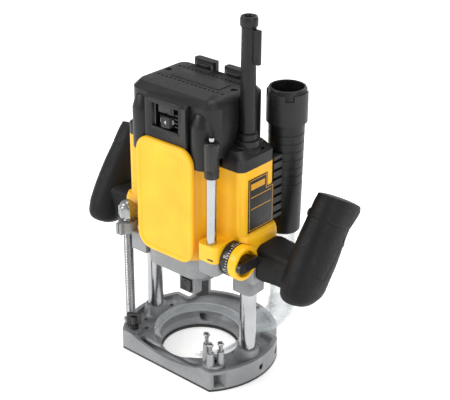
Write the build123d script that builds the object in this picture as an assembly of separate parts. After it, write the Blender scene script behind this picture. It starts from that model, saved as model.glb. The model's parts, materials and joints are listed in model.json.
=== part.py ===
from build123d import *
import os
from math import atan2, cos, degrees, floor, hypot, pi, radians, sin, sqrt, tan

# Plunge router, in millimetres. The origin is on the spindle axis at the underside of the sole.
# +X is the right-hand grip, -Y is the side with the front panel, +Z is up.

# ---------------------------------------------------------------- driving dimensions
# base
BASE_RADIUS = 84.7          # round outline of the base
FRONT_FLAT = 56.6           # spindle axis to the front flat
NOTCH_FRONT = 43.0          # spindle axis to the notches at the two back corners
NOTCH_SIDE = 56.0
BASE_HEIGHT = 23.6          # underside of the sole to the rim
SOLE_THICKNESS = 2.5
SOLE_OPENING = 41.5         # radius of the hole that the cutter passes through
CASTING_OPENING = 43.0
RIM_WIDTH = 5.0
DECK_DROP = 4.1             # the deck lies this far below the rim
DISH_RADIUS = 50.5
DISH_DROP = 7.5
COLUMN_SPACING = 134.0
COLUMN_RADIUS = 8.7
COLUMN_WALL = 1.9
COLUMN_TOP = 188.0
SEAT_RADIUS = 11.2          # column seat at its top
SEAT_FLARE = 3.3
SEAT_TOP = 30.5
SEAT_DEPTH = 5.0            # a column starts this far above the underside
FENCE_ROD_RADIUS = 4.1
FENCE_ROD_HEIGHT = 11.5
FENCE_ROD_FRONT = -48.0
FENCE_ROD_BACK = 36.0
DIP_HALF_WIDTH = 50.0       # the front wall dips over this half width
DIP_LOWEST = 14.5
DIP_BACK = -44.0
SLOT_HALF_WIDTH = 41.0
SLOT_FRONT = -53.5
SLOT_BACK = -46.5
SLOT_FLOOR = 7.0
POCKET_INNER = 60.0
POCKET_FLOOR = 4.5
POCKET_TOP = 20.0

SET_SCREW_RADIUS = 3.5
SET_SCREW_Y = 2.0
SET_SCREW_FACE = 1.2        # its face lies this far inside the base's outline
SOLE_SCREW_RADIUS = 2.0
SOLE_SCREW_TOP = 8.5
SOLE_SCREW_HEAD = 3.6
SOLE_SCREWS = ((-53.0, -26.0), (53.0, -26.0), (-53.0, 26.0), (53.0, 26.0))
DECK_HOLE_RADIUS = 2.6
DECK_HOLES = ((-50.0, -33.0), (-62.5, -20.5), (62.5, 20.5), (-62.5, 20.5))

# plunge
PLUNGE_TRAVEL = 62.0
SPRING_WIRE = 1.6
SPRING_TURNS = 16
SPRING_FOOT = 12.0          # the spring stands this far above the underside

# depth-stop turret
TURRET_X = 55.5
TURRET_Y = -41.0
TURRET_FOOT_RADIUS = 12.4
TURRET_FOOT_HEIGHT = 4.0
TURRET_ORBIT = 8.0
TURRET_FIRST_ANGLE = 196.0
STOP_POST_RADIUS = 3.6
STOP_POST_TOPS = (47.0, 42.0, 42.0)
STOP_HEAD_TOPS = (60.0, 54.0, 53.0)
STOP_SHANK_RADIUS = 2.0
STOP_HEAD_RADIUS = 3.4
STOP_HEAD_HEIGHT = 4.0
STOP_DROP = 5.0             # room under a stop screw for turning it down
TURRET_BOLT_RADIUS = 2.5
TURRET_BOLT_HEAD = 3.5
TURRET_FLOOR = 1.5          # metal left under a stop screw's bore
STOP_POST_FLARE = 1.0
TURRET_BOLT_BOTTOM = 17.0

# upper-limit rod
LIMIT_X = -68.0
LIMIT_Y = -38.5
LIMIT_RADIUS = 5.2
LIMIT_BOTTOM = 16.2
LIMIT_TOP = 170.0
LIMIT_FOOT_HEIGHT = 5.0
LIMIT_FOOT_FLATS = 14.0
GUIDE_SLIT = 0.6            # half the width of the guide ring's slit
NUT_FLATS = 17.0
NUT_HEIGHT = 13.0
NUT_BOTTOM = 154.0
NUT_DOME = 6.0
GUIDE_RING_RADIUS = 10.2
GUIDE_RING_BOTTOM = 137.0
GUIDE_RING_TOP = 150.0
LUG_HALF = 4.0

# clamp wing screw
WING_X = -55.0
WING_Y = -46.5
WING_SPAN = 7.6
WING_BOTTOM = 30.0
WING_TOP = 43.0
WING_SHANK_RADIUS = 2.5
WING_ANGLE = 35
WING_SPRING_TURNS = 3

# carriage casting
CASTING_BOTTOM = 117.0
CASTING_TOP = 141.0
CASTING_HALF_WIDTH = 38.0
CASTING_FRONT = -46.0
CASTING_BACK = 42.0
BUSH_BOTTOM = 101.0
BUSH_TOP = 160.0
BUSH_LENGTH = 22.0
BUSH_WALL = 1.9
TOWER_BLOCK_OUT = 80.0      # outer face of the casting around a column
TOWER_BLOCK_HALF = 13.2
NOSE_RADIUS = 18.5
NOSE_BOTTOM = 95.0
LOCK_BLOCK_HALF = 10.5
LOCK_BLOCK_FRONT = -21.0
LOCK_BLOCK_BOTTOM = 80.5
LOCK_BLOCK_TOP = 101.0
LOCK_BUTTON_Z = 90.0
LOCK_BUTTON_HALF = 7.0
LOCK_BUTTON_PROUD = 2.5
DISH_SPHERE = 14.0
NOSE_TAPER = 6.0
NUT_ROOM = 14.0

# housing and covers
HOUSING_TOP = 243.0
HOUSING_FRONT = -50.0
HOUSING_BACK = 46.0
HOUSING_HALF_WIDTH = 40.0
TOWER_OUT = 78.0
TOWER_HALF_DEPTH = 26.0
TOWER_CORNER = 8.0
WALL = 3.0
FLARE_OUT = 84.0
FLARE_HALF_DEPTH = 28.0
FLARE_TOP = 174.0
PANEL_HALF_WIDTH = 38.0
PANEL_FRONT = -54.0
PANEL_BOTTOM = 138.0
PANEL_TOP = 263.0
PANEL_CORNER = 17.0
PANEL_RECESS = 1.0
PANEL_BORDER = 5.0
SHOULDER_TOP = 262.0
SHOULDER_HALF_DEPTH = 22.0
HEAD_TOP = 313.0
HEAD_HALF_WIDTH = 56.0
HEAD_FRONT = -44.0
HEAD_BACK = 38.0
HEAD_CORNER = 15.0
HEAD_CHAMFER = 7.0
BAY_HALF_WIDTH = 27.0
BAY_FRONT = -50.0
BAY_TOP = 306.0
WINDOW_HALF_WIDTH = 17.5
WINDOW_BOTTOM = 276.0
WINDOW_TOP = 300.0
WINDOW_DEPTH = 13.0
LUG_TOP = 321.0
LUG_INNER = 6.0
LUG_OUTER = 34.0
LUG_FRONT = 29.0
LUG_BACK = 38.0
VENT_SLOT = (3.2, 2.0)
VENT_PITCH = 5.6
VENT_COUNT = 16
COVER_SCREW_X = 43.5
COVER_SCREW_Y = 2.0
COVER_SCREW_RADIUS = 3.6
DIAL_RADIUS = 10.0
DIAL_BOTTOM = 278.0
DIAL_HEIGHT = 12.0
DIAL_Y = -43.0
DIAL_PIN = 2.0
SHOULDER_STEP = 12.0
SHOULDER_HALF = 70.0
WINDOW_BACK = 16.0
VENT_FRONT_ROW = -14.0
VENT_BACK_ROW = 17.5
COVER_SCREW_END = 290.0
BOARD_HALF_WIDTH = 25.0
BOARD_Y = 22.0
BOARD_THICKNESS = 1.6
BOARD_BOTTOM = 268.0
BOARD_TOP = 300.0

# spindle and motor
SHAFT_TOP = 296.0
SHAFT_BOTTOM = 86.0
SHAFT_THREAD_RADIUS = 7.6
COLLET_RADIUS = 6.2
COLLET_BORE = 4.0           # takes an 8 mm cutter shank
COLLET_BOTTOM = 71.0
COLLET_NUT_FLATS = 21.0
COLLET_NUT_BOTTOM = 72.0
COLLET_NUT_TOP = 90.0
LOWER_BEARING = (105.0, 15.0, 8.0, 17.0)       # bottom, height, inner and outer radius
UPPER_BEARING = (284.0, 9.0, 5.0, 13.0)
BEARING_RING = 2.5
ARMATURE = (188.0, 250.0, 24.0)                 # bottom, top, radius
COMMUTATOR = (258.0, 280.0, 12.0)
FAN = (148.0, 164.0, 36.0)
FAN_BLADES = 9
FAN_PLATE = 2.0
FAN_BLADE_HALF = 0.8
BALL_PITCH = 1.3            # distance between balls, in radii
STATOR_RADIUS = 42.5
STATOR_BORE = 25.0
BRUSH_SIZE = 7.0
BRUSH_Z = 269.0
BRUSH_REACH = 38.0
BRUSH_HOLDER_WALL = 1.8

# depth rod, height knob and lock
ROD_X = 58.0
ROD_Y = -47.0
ROD_RADIUS = 5.2
ROD_TOP = 241.0
ROD_DOWN = 60.0
ROD_UP = 12.0
ROD_END = 1.0               # the raised rod still covers the pinion's axis by this much less
BOSS_TOP = 170.0
BOSS_BOTTOM = 138.0
BOSS_JOINT = 152.0          # yellow above, casting below
BOSS_LEFT = 45.0
BOSS_RIGHT = 69.5
BOSS_FRONT = -55.0
BOSS_BACK = -13.0
BOSS_CORNER = 6.0
KNOB_SHAFT_RADIUS = 4.0
KNOB_Y = -31.6
KNOB_Z = 152.0
GEAR_MODULE = 1.0
PRESSURE_ANGLE = radians(20)
ADDENDUM = 0.8              # in modules
DEDENDUM = 1.1
FLANK_STEPS = 4
PINION_TEETH = 23
PINION_HALF_WIDTH = 4.5
TOOTH_THINNING = 0.25       # backlash, taken off each tooth's thickness
SCALE_RING_RADIUS = 18.0
SCALE_RING_SPAN = (70.0, 79.8)
KNOB_RING_RADIUS = 18.0
KNOB_RING_INNER = 13.5
KNOB_WEB = 2.0
KNOB_RING_SPAN = (80.1, 90.0)
LEVER_SPAN = (82.5, 95.0)
LEVER_HALF_LENGTH = 16.5
LEVER_HALF_WIDTH = 5.5
LEVER_SHAFT_RADIUS = 2.0
TOP_KNOB_RADIUS = 7.6
TOP_KNOB_HEIGHT = 37.0
TIP_RADIUS = 2.6
TIP_HEIGHT = 5.0

# grips
GRIP_X = 141.0
GRIP_WALL = 3.0
# height, middle, half depth and half width of each section of a grip
GRIP_SECTIONS = (
    (101.0, 14.0, 13.0, 13.0), (106.0, 13.0, 21.0, 16.5), (120.0, 13.0, 28.0, 19.0),
    (142.0, 16.0, 30.0, 20.0), (160.0, 21.0, 27.0, 19.0), (178.0, 27.0, 26.0, 18.5),
    (194.0, 34.0, 27.5, 19.0), (206.0, 38.0, 28.0, 19.0), (218.0, 36.0, 24.0, 17.0),
    (227.0, 32.0, 17.0, 12.0),
)
NECK_FRONT = -11.0
NECK_BACK = 31.0
NECK_BOTTOM = 119.0
NECK_TOP = 161.0
NECK_CORNER = 9.0
TRIGGER_HALF_WIDTH = 6.0
TRIGGER_TRAVEL = 9.0        # degrees
TRIGGER_PIVOT_Y = 44.0
TRIGGER_PIVOT_Z = 184.0
TRIGGER_BOTTOM = 158.0
TRIGGER_REACH = 9.0
TRIGGER_PIN = 1.6
LOCK_ON_RADIUS = 4.6
LOCK_ON_Y = 30.0
LOCK_ON_Z = 196.0
LOCK_ON_FACE = 119.0
LOCK_ON_LENGTH = 12.0
SWITCH_HALF = 8.0
SWITCH_DEPTH = (8.0, 30.0)
SWITCH_HEIGHT = (150.0, 180.0)
GRIP_SCREWS = ((36.0, 190.0), (6.0, 120.0))    # places across and up
GRIP_SCREW_RADIUS = 2.0
GRIP_SCREW_REACH = 14.0

# cord guard and dust extraction
GUARD_X = 62.0
GUARD_Y = 1.0
GUARD_RADIUS = 7.7
GUARD_BORE = 4.5
GUARD_TOP = 392.0
GUARD_LIP = 1.0
GUARD_MOUTH = 9.6           # height of the collared mouth
GUARD_COLLAR_RADIUS = 12.0
GUARD_COLLAR_TOP = 268.0
TAB_REACH = 76.0
TAB_BOTTOM = 346.0
TAB_TOP = 386.0
TAB_HALF = 2.4
DUST_X = 67.0
DUST_Y = 56.0
PIPE_RADIUS = 13.0
PIPE_WALL = 1.6
PIPE_TOP = 208.0
ELBOW_TOP = 62.0
HOSE_BOTTOM = 150.0
HOSE_TOP = 308.0
PIPE_ROOM = 2.0             # air around the pipe inside the hose tube
HOSE_WALL = 2.0
HOSE_TAPER = 1.6            # the tube widens by this much from its foot to its collar
PORT_STEP = 1.6             # the port is this much wider than the tube's bore
PORT_DEPTH = 30.0
COLLAR_WALL = 1.8
COLLAR_SPAN = (272.0, 298.0)
PORT_LIP = 0.6
LUG_RISE = 6.0
LUG_NOTCH = 4.5
BRACKET_SPAN = (60.0, 76.0)
BRACKET_BOTTOM = 175.0
BRACKET_PITCH = 9.5
BRACKET_NOTCH = 3.2
BRACKET_FIRST = 7.1         # foot of the bracket to the top of its lowest notch
PIPE_BOTTOM = 48.0
BRACKET_SINK = 1.0          # the bracket runs this far into the tube's foot radius
SHROUD_OUTER = 50.0
SHROUD_TOP = 27.0
SHROUD_FRONT = -36.0        # the ring is open in front of this
SHROUD_WALL = 1.8
ELBOW_FLARE = 2.0
DUCT_TOP = 44.0
DUCT_START = 46.0           # the duct begins this far from the spindle axis

# rating plate
PLATE_FRONT = -16.0
PLATE_BACK = 23.0
PLATE_BOTTOM = 175.0
PLATE_TOP = 233.0
PLATE_STEP_Y = 13.0
PLATE_STEP_Z = 218.0
PLATE_THICKNESS = 0.5

# fits
RUNNING = 0.05              # radial clearance of a shaft that turns or slides in a bore
GAP = 0.35                  # between neighbours that move apart
THREAD_ROOM = 0.1           # radial room of a modelled plain thread
FAR = 250.0                 # beyond every face, for cuts that run right out

# ---------------------------------------------------------------- derived
COLUMN_X = COLUMN_SPACING / 2
DECK = BASE_HEIGHT - DECK_DROP
DISH_FLOOR = DECK - DISH_DROP
COLUMN_BORE = COLUMN_RADIUS - COLUMN_WALL
BUSH_RADIUS = COLUMN_RADIUS + RUNNING + BUSH_WALL
PITCH_RADIUS = GEAR_MODULE * PINION_TEETH / 2
RACK_LINE = KNOB_Y - PITCH_RADIUS
ROD_BOTTOM = KNOB_Z - ROD_UP - ROD_END
HOSE_BORE = PIPE_RADIUS + PIPE_ROOM
HOSE_FOOT_RADIUS = HOSE_BORE + HOSE_WALL
HOSE_RADIUS = HOSE_FOOT_RADIUS + HOSE_TAPER
PORT_BORE = HOSE_BORE + PORT_STEP
COLLAR_RADIUS = HOSE_RADIUS + PORT_LIP + COLLAR_WALL
DUCT_WIDTH = 2 * (PIPE_RADIUS + ELBOW_FLARE)
COLUMN_ROOF = COLUMN_TOP + PLUNGE_TRAVEL + GAP
TRIGGER_SWING = TRIGGER_REACH * sin(radians(TRIGGER_TRAVEL))
SHELL_INSIDE_TOP = SHOULDER_TOP - WALL
DUST_ANGLE = atan2(DUST_Y, DUST_X)
DUST_REACH = hypot(DUST_X, DUST_Y)


# ---------------------------------------------------------------- helpers
def span(low, high):
    """Middle and length of an interval."""
    return (low + high) / 2, high - low


def block(x, y, z, corner=0.0):
    """An upright block between three (low, high) pairs, with its upright edges rounded."""
    (cx, lx), (cy, ly), (cz, lz) = span(*x), span(*y), span(*z)
    outline = RectangleRounded(lx, ly, corner) if corner else Rectangle(lx, ly)
    return Pos(cx, cy, z[0]) * extrude(outline, lz)


def post(radius, bottom, top, x=0.0, y=0.0):
    """An upright cylinder."""
    return Pos(x, y, bottom) * extrude(Circle(radius), top - bottom)


def tube(outer, inner, bottom, top, x=0.0, y=0.0):
    """An upright tube."""
    return Pos(x, y, bottom) * extrude(Circle(outer) - Circle(inner), top - bottom)


def along_x(radius, left, right, y, z):
    """A cylinder along X."""
    return Pos(left, y, z) * Rot(0, 90, 0) * extrude(Circle(radius), right - left)


def along_y(radius, front, back, x, z):
    """A cylinder along Y."""
    return Pos(x, front, z) * Rot(-90, 0, 0) * extrude(Circle(radius), back - front)


def cone(low_radius, high_radius, bottom, top, x=0.0, y=0.0):
    """An upright frustum."""
    return Pos(x, y, (bottom + top) / 2) * Cone(low_radius, high_radius, top - bottom)


def hexagon(flats, bottom, top, x=0.0, y=0.0, bore=0.0):
    """An upright hexagonal prism of a width across flats, bored if asked."""
    outline = RegularPolygon(flats / 2, 6, major_radius=False)
    if bore:
        outline -= Circle(bore)
    return Pos(x, y, bottom) * extrude(outline, top - bottom)


def hulled(sections):
    """A smooth solid through ellipses given as (x, y, z, half width, half depth)."""
    rings = [Pos(x, y, z) * Ellipse(half_width, half_depth) for x, y, z, half_width, half_depth in sections]
    return loft(rings)


def write(name, shape):
    """Write one node."""
    export_step(shape, f"parts/{name}.step")


# ---------------------------------------------------------------- base
def base_outline():
    """Circle cut by the front flat, with a notch at each back corner."""
    depth = BASE_RADIUS + FRONT_FLAT
    outline = Circle(BASE_RADIUS) & Pos(0, (BASE_RADIUS - FRONT_FLAT) / 2) * Rectangle(2 * BASE_RADIUS, depth)
    for side in (-1, 1):
        middle = NOTCH_FRONT + BASE_RADIUS / 2
        outline -= Pos(side * (NOTCH_SIDE + BASE_RADIUS / 2), middle) * Rectangle(BASE_RADIUS, BASE_RADIUS)
    return outline


def base_casting():
    """Rimmed casting with column seats, dished deck, fence-rod holes and the dipped front wall."""
    outline = base_outline()
    body = Pos(0, 0, SOLE_THICKNESS) * extrude(outline, BASE_HEIGHT - SOLE_THICKNESS)
    deck = Pos(0, 0, DECK) * extrude(offset(outline, -RIM_WIDTH), DECK_DROP)
    body -= deck
    body -= cone(CASTING_OPENING, DISH_RADIUS, DISH_FLOOR, DECK + GAP)
    for side in (-1, 1):
        seat = post(SEAT_RADIUS + SEAT_FLARE, SOLE_THICKNESS, DECK, side * COLUMN_X)
        flare = cone(SEAT_RADIUS + SEAT_FLARE, SEAT_RADIUS, DECK, SEAT_TOP, side * COLUMN_X)
        body += seat + flare
    body += post(TURRET_FOOT_RADIUS, SOLE_THICKNESS, BASE_HEIGHT, TURRET_X, TURRET_Y)
    for x, y in ((LIMIT_X, LIMIT_Y), (WING_X, WING_Y)):
        body += post(LIMIT_RADIUS + RIM_WIDTH / 2, SOLE_THICKNESS, BASE_HEIGHT, x, y)
    body &= Pos(0, 0, SOLE_THICKNESS) * extrude(outline, SEAT_TOP)
    body -= post(CASTING_OPENING, 0, BASE_HEIGHT + SEAT_TOP)
    dip_rise = BASE_HEIGHT - DIP_LOWEST
    dip_radius = (DIP_HALF_WIDTH**2 + dip_rise**2) / (2 * dip_rise)
    body -= along_y(dip_radius, -BASE_RADIUS, DIP_BACK, 0, DIP_LOWEST + dip_radius)
    slot_height = SLOT_FLOOR, BASE_HEIGHT + GAP
    body -= block((-SLOT_HALF_WIDTH, SLOT_HALF_WIDTH), (SLOT_FRONT, SLOT_BACK), slot_height)
    for y in (FENCE_ROD_FRONT, FENCE_ROD_BACK):
        body -= along_x(FENCE_ROD_RADIUS, -BASE_RADIUS, BASE_RADIUS, y, FENCE_ROD_HEIGHT)
    pocket = (FENCE_ROD_FRONT - RIM_WIDTH, FENCE_ROD_FRONT + RIM_WIDTH)
    for side in ((-BASE_RADIUS, -POCKET_INNER - RIM_WIDTH * 2), (POCKET_INNER, BASE_RADIUS)):
        body -= block(side, pocket, (POCKET_FLOOR, POCKET_TOP))
    for side in (-1, 1):
        body -= post(COLUMN_RADIUS, SEAT_DEPTH, SEAT_TOP, side * COLUMN_X)
        reach = sorted((side * (COLUMN_X + COLUMN_RADIUS / 2), side * BASE_RADIUS))
        body -= along_x(SET_SCREW_RADIUS, reach[0], reach[1], SET_SCREW_Y, FENCE_ROD_HEIGHT)
    body -= post(WING_SHANK_RADIUS + THREAD_ROOM, FENCE_ROD_HEIGHT, BASE_HEIGHT, WING_X, WING_Y)
    body -= post(LIMIT_RADIUS, LIMIT_BOTTOM, BASE_HEIGHT, LIMIT_X, LIMIT_Y)
    body -= post(TURRET_BOLT_RADIUS, TURRET_BOLT_BOTTOM, BASE_HEIGHT, TURRET_X, TURRET_Y)
    for x, y in SOLE_SCREWS:
        body -= post(SOLE_SCREW_RADIUS, 0, SOLE_SCREW_TOP, x, y)
    for x, y in DECK_HOLES:
        body -= post(DECK_HOLE_RADIUS, SOLE_THICKNESS, BASE_HEIGHT, x, y)
    return body


def sole_plate():
    """Thin sole with the cutter opening and countersunk screw holes."""
    plate = extrude(base_outline() - Circle(SOLE_OPENING), SOLE_THICKNESS)
    for x, y in SOLE_SCREWS:
        plate -= cone(SOLE_SCREW_HEAD, SOLE_SCREW_RADIUS, 0, SOLE_THICKNESS, x, y)
    return plate


def sole_screws():
    """Countersunk screws, flush with the sole."""
    return Compound(children=[
        cone(SOLE_SCREW_HEAD, SOLE_SCREW_RADIUS, 0, SOLE_THICKNESS, x, y)
        + post(SOLE_SCREW_RADIUS, SOLE_THICKNESS, SOLE_SCREW_TOP, x, y)
        for x, y in SOLE_SCREWS
    ])


def guide_columns():
    """Hollow guide columns, closed at their feet."""
    column = tube(COLUMN_RADIUS, COLUMN_BORE, SEAT_DEPTH, COLUMN_TOP)
    column += post(COLUMN_BORE, SEAT_DEPTH, SPRING_FOOT)
    return Compound(children=[Pos(x, 0, 0) * column for x in (-COLUMN_X, COLUMN_X)])


def plunge_springs():
    """Round-wire helices from the columns' feet to the roofs of the towers."""
    mean = COLUMN_BORE - GAP - SPRING_WIRE
    bottom = SPRING_FOOT + SPRING_WIRE / 2
    height = SHELL_INSIDE_TOP - SPRING_WIRE / 2 - bottom
    path = Helix(pitch=height / SPRING_TURNS, height=height, radius=mean)
    wire = sweep((path ^ 0) * Circle(SPRING_WIRE / 2), path=path)
    return Compound(children=[Pos(x, 0, bottom) * wire for x in (-COLUMN_X, COLUMN_X)])


def column_set_screws():
    """Socket set screws that hold the columns in the base."""
    screws = []
    for side in (-1, 1):
        inner = COLUMN_X + COLUMN_RADIUS
        outer = BASE_RADIUS - SET_SCREW_FACE
        left, right = sorted((side * inner, side * outer))
        screw = along_x(SET_SCREW_RADIUS, left, right, SET_SCREW_Y, FENCE_ROD_HEIGHT)
        socket_left, socket_right = sorted((side * (outer - SET_SCREW_RADIUS), side * outer))
        key = Rot(0, 90, 0) * extrude(RegularPolygon(SET_SCREW_RADIUS / 2, 6), socket_right - socket_left)
        screws.append(screw - Pos(socket_left, SET_SCREW_Y, FENCE_ROD_HEIGHT) * key)
    return Compound(children=screws)


def limit_rod():
    """Threaded rod and its hexagonal foot; the thread's crest diameter is modelled."""
    foot = hexagon(LIMIT_FOOT_FLATS, BASE_HEIGHT, BASE_HEIGHT + LIMIT_FOOT_HEIGHT, LIMIT_X, LIMIT_Y)
    return foot + post(LIMIT_RADIUS, LIMIT_BOTTOM, LIMIT_TOP, LIMIT_X, LIMIT_Y)


def acorn_nut():
    """Domed hexagonal nut on the threaded rod."""
    top = NUT_BOTTOM + NUT_HEIGHT
    body = hexagon(NUT_FLATS, NUT_BOTTOM, top, LIMIT_X, LIMIT_Y)
    body += cone(NUT_FLATS / 2, NUT_FLATS / 4, top, top + NUT_DOME, LIMIT_X, LIMIT_Y)
    return body - post(LIMIT_RADIUS + RUNNING, NUT_BOTTOM, LIMIT_TOP + GAP, LIMIT_X, LIMIT_Y)


def wing_screw():
    """Wing-headed screw that clamps a fence rod."""
    shank = post(WING_SHANK_RADIUS, FENCE_ROD_HEIGHT + FENCE_ROD_RADIUS, WING_BOTTOM, WING_X, WING_Y)
    hub = post(WING_SPAN / 2, WING_BOTTOM, WING_TOP - WING_SPAN / 2, WING_X, WING_Y)
    half = WING_SHANK_RADIUS / 2
    wing = block((-WING_SPAN, WING_SPAN), (-half, half), (WING_BOTTOM, WING_TOP))
    return shank + hub + Pos(WING_X, WING_Y) * Rot(0, 0, WING_ANGLE) * wing


def wing_spring():
    """Short spring under the wing head, which stops it from shaking loose."""
    height = WING_BOTTOM - BASE_HEIGHT - SPRING_WIRE - GAP
    path = Helix(pitch=height / WING_SPRING_TURNS, height=height, radius=WING_SHANK_RADIUS + SPRING_WIRE)
    wire = sweep((path ^ 0) * Circle(SPRING_WIRE / 2), path=path)
    return Pos(WING_X, WING_Y, BASE_HEIGHT + SPRING_WIRE / 2) * wire


def turret_bolt():
    """Shoulder bolt that the turret turns on."""
    top = BASE_HEIGHT + TURRET_FOOT_HEIGHT + GAP
    shank = post(TURRET_BOLT_RADIUS, TURRET_BOLT_BOTTOM, top, TURRET_X, TURRET_Y)
    return shank + post(TURRET_BOLT_HEAD, top, top + TURRET_BOLT_RADIUS, TURRET_X, TURRET_Y)


def stop_place(index):
    """Axis of a stop screw."""
    angle = radians(TURRET_FIRST_ANGLE + 90 * index)
    return TURRET_X + TURRET_ORBIT * cos(angle), TURRET_Y + TURRET_ORBIT * sin(angle)


def turret():
    """Foot disc with one bored post for each stop screw."""
    foot = BASE_HEIGHT + GAP
    body = post(TURRET_FOOT_RADIUS, foot, BASE_HEIGHT + TURRET_FOOT_HEIGHT, TURRET_X, TURRET_Y)
    for index, top in enumerate(STOP_POST_TOPS):
        x, y = stop_place(index)
        body += cone(STOP_POST_RADIUS + STOP_POST_FLARE, STOP_POST_RADIUS, foot, top, x, y)
    for index in range(len(STOP_POST_TOPS)):
        x, y = stop_place(index)
        body -= post(STOP_SHANK_RADIUS + RUNNING, foot + TURRET_FLOOR, FAR, x, y)
    body -= post(TURRET_BOLT_RADIUS + RUNNING, foot, FAR, TURRET_X, TURRET_Y)
    return body - post(TURRET_BOLT_HEAD + GAP, BASE_HEIGHT + TURRET_FOOT_HEIGHT, FAR, TURRET_X, TURRET_Y)


def stop_screw(index):
    """Domed-head stop screw."""
    x, y = stop_place(index)
    top = STOP_HEAD_TOPS[index]
    neck = top - STOP_HEAD_HEIGHT
    shank = post(STOP_SHANK_RADIUS, BASE_HEIGHT + TURRET_FOOT_HEIGHT + STOP_DROP, neck, x, y)
    head = cone(STOP_HEAD_RADIUS * 0.8, STOP_HEAD_RADIUS, neck, top - 1, x, y)
    return shank + head + cone(STOP_HEAD_RADIUS, STOP_HEAD_RADIUS * 0.7, top - 1, top, x, y)


# ---------------------------------------------------------------- dust extraction
def duct(start, end, width, bottom, top):
    """A box that runs from the spindle axis towards the dust pipe."""
    return Rot(0, 0, degrees(DUST_ANGLE)) * block((start, end), (-width / 2, width / 2), (bottom, top))


def dust_shroud():
    """Clear ring around the cutter with a port at the elbow's side."""
    ring = tube(SHROUD_OUTER, SHROUD_OUTER - SHROUD_WALL, DECK, SHROUD_TOP)
    floor = tube(SHROUD_OUTER, CASTING_OPENING + SHROUD_WALL / 2, DECK, DECK + SHROUD_WALL)
    front = block((-SHROUD_OUTER, SHROUD_OUTER), (-SHROUD_OUTER, SHROUD_FRONT), (DECK, SHROUD_TOP))
    return ring + floor - front - duct(0, DUST_REACH, DUCT_WIDTH, DECK + SHROUD_WALL, DUCT_TOP)


def dust_elbow():
    """Clear duct from the shroud to an upright socket behind the base."""
    bottom = BASE_HEIGHT + GAP
    socket = PIPE_RADIUS + RUNNING + PIPE_WALL
    outer = duct(DUCT_START, DUST_REACH, DUCT_WIDTH, bottom, DUCT_TOP)
    outer += cone(DUCT_WIDTH / 2, socket, bottom, ELBOW_TOP, DUST_X, DUST_Y)
    inner_width = DUCT_WIDTH - 2 * PIPE_WALL
    inner = duct(DUCT_START - PIPE_WALL, DUST_REACH, inner_width, bottom + PIPE_WALL, DUCT_TOP - PIPE_WALL)
    inner += post(PIPE_RADIUS - PIPE_WALL, bottom + PIPE_WALL, ELBOW_TOP, DUST_X, DUST_Y)
    inner += post(PIPE_RADIUS, PIPE_BOTTOM, ELBOW_TOP, DUST_X, DUST_Y)
    return outer - inner


def dust_pipe():
    """Clear pipe that stands in the elbow and slides in the hose tube."""
    return tube(PIPE_RADIUS, PIPE_RADIUS - PIPE_WALL, PIPE_BOTTOM, PIPE_TOP, DUST_X, DUST_Y)


def hose_tube():
    """Black tube that the vacuum hose plugs into, slightly tapered towards its foot."""
    outer = cone(HOSE_FOOT_RADIUS, HOSE_RADIUS, HOSE_BOTTOM, COLLAR_SPAN[0], DUST_X, DUST_Y)
    outer += post(HOSE_RADIUS + PORT_LIP, COLLAR_SPAN[0], HOSE_TOP, DUST_X, DUST_Y)
    outer -= post(HOSE_BORE, HOSE_BOTTOM, HOSE_TOP, DUST_X, DUST_Y)
    return outer - post(PORT_BORE, HOSE_TOP - PORT_DEPTH, HOSE_TOP, DUST_X, DUST_Y)


def bayonet_collar():
    """Collar that locks the hose, with four lugs at its rim."""
    low, high = COLLAR_SPAN
    inner = HOSE_RADIUS + PORT_LIP
    collar = tube(COLLAR_RADIUS, inner, low, high, DUST_X, DUST_Y)
    lugs = tube(COLLAR_RADIUS, inner, high, high + LUG_RISE, DUST_X, DUST_Y)
    for angle in (45, 135):
        lugs -= Pos(DUST_X, DUST_Y) * Rot(0, 0, angle) * block(
            (-COLLAR_RADIUS, COLLAR_RADIUS), (-LUG_NOTCH, LUG_NOTCH), (high, high + LUG_RISE))
    return collar + lugs


def tube_bracket():
    """Toothed rib that joins the hose tube to the housing."""
    left, right = BRACKET_SPAN
    back = DUST_Y - HOSE_FOOT_RADIUS + BRACKET_SINK
    body = block((left, right), (TOWER_HALF_DEPTH, back), (BRACKET_BOTTOM, HOUSING_TOP))
    count = int((HOUSING_TOP - BRACKET_BOTTOM) / BRACKET_PITCH)
    for index in range(count):
        z = BRACKET_BOTTOM + BRACKET_FIRST + BRACKET_PITCH * index
        body -= block((right - BRACKET_NOTCH, right), (TOWER_HALF_DEPTH, back), (z - BRACKET_NOTCH, z))
    outer = cone(HOSE_FOOT_RADIUS, HOSE_RADIUS, HOSE_BOTTOM, COLLAR_SPAN[0], DUST_X, DUST_Y)
    return body - outer


# ---------------------------------------------------------------- carriage casting
def rod_boss(bottom, top):
    """The block that guides the depth rod and carries the height knob's shaft."""
    return block((BOSS_LEFT, BOSS_RIGHT), (BOSS_FRONT, BOSS_BACK), (bottom, top), BOSS_CORNER)


def rod_room():
    """What is taken out of the rod's block: the rod's bore, the pinion's pocket and its shaft's bore."""
    room = post(ROD_RADIUS + RUNNING, BOSS_BOTTOM, BOSS_TOP, ROD_X, ROD_Y)
    pocket = PITCH_RADIUS + GEAR_MODULE + GAP
    room += along_x(pocket, ROD_X - PINION_HALF_WIDTH - GAP, ROD_X + PINION_HALF_WIDTH + GAP, KNOB_Y, KNOB_Z)
    room += along_x(KNOB_SHAFT_RADIUS + RUNNING, ROD_X, BOSS_RIGHT, KNOB_Y, KNOB_Z)
    return room


def column_room(bottom, top):
    """Bush bores on both columns."""
    return sum((post(BUSH_RADIUS, bottom, top, side * COLUMN_X) for side in (-1, 1)), Part())


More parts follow.
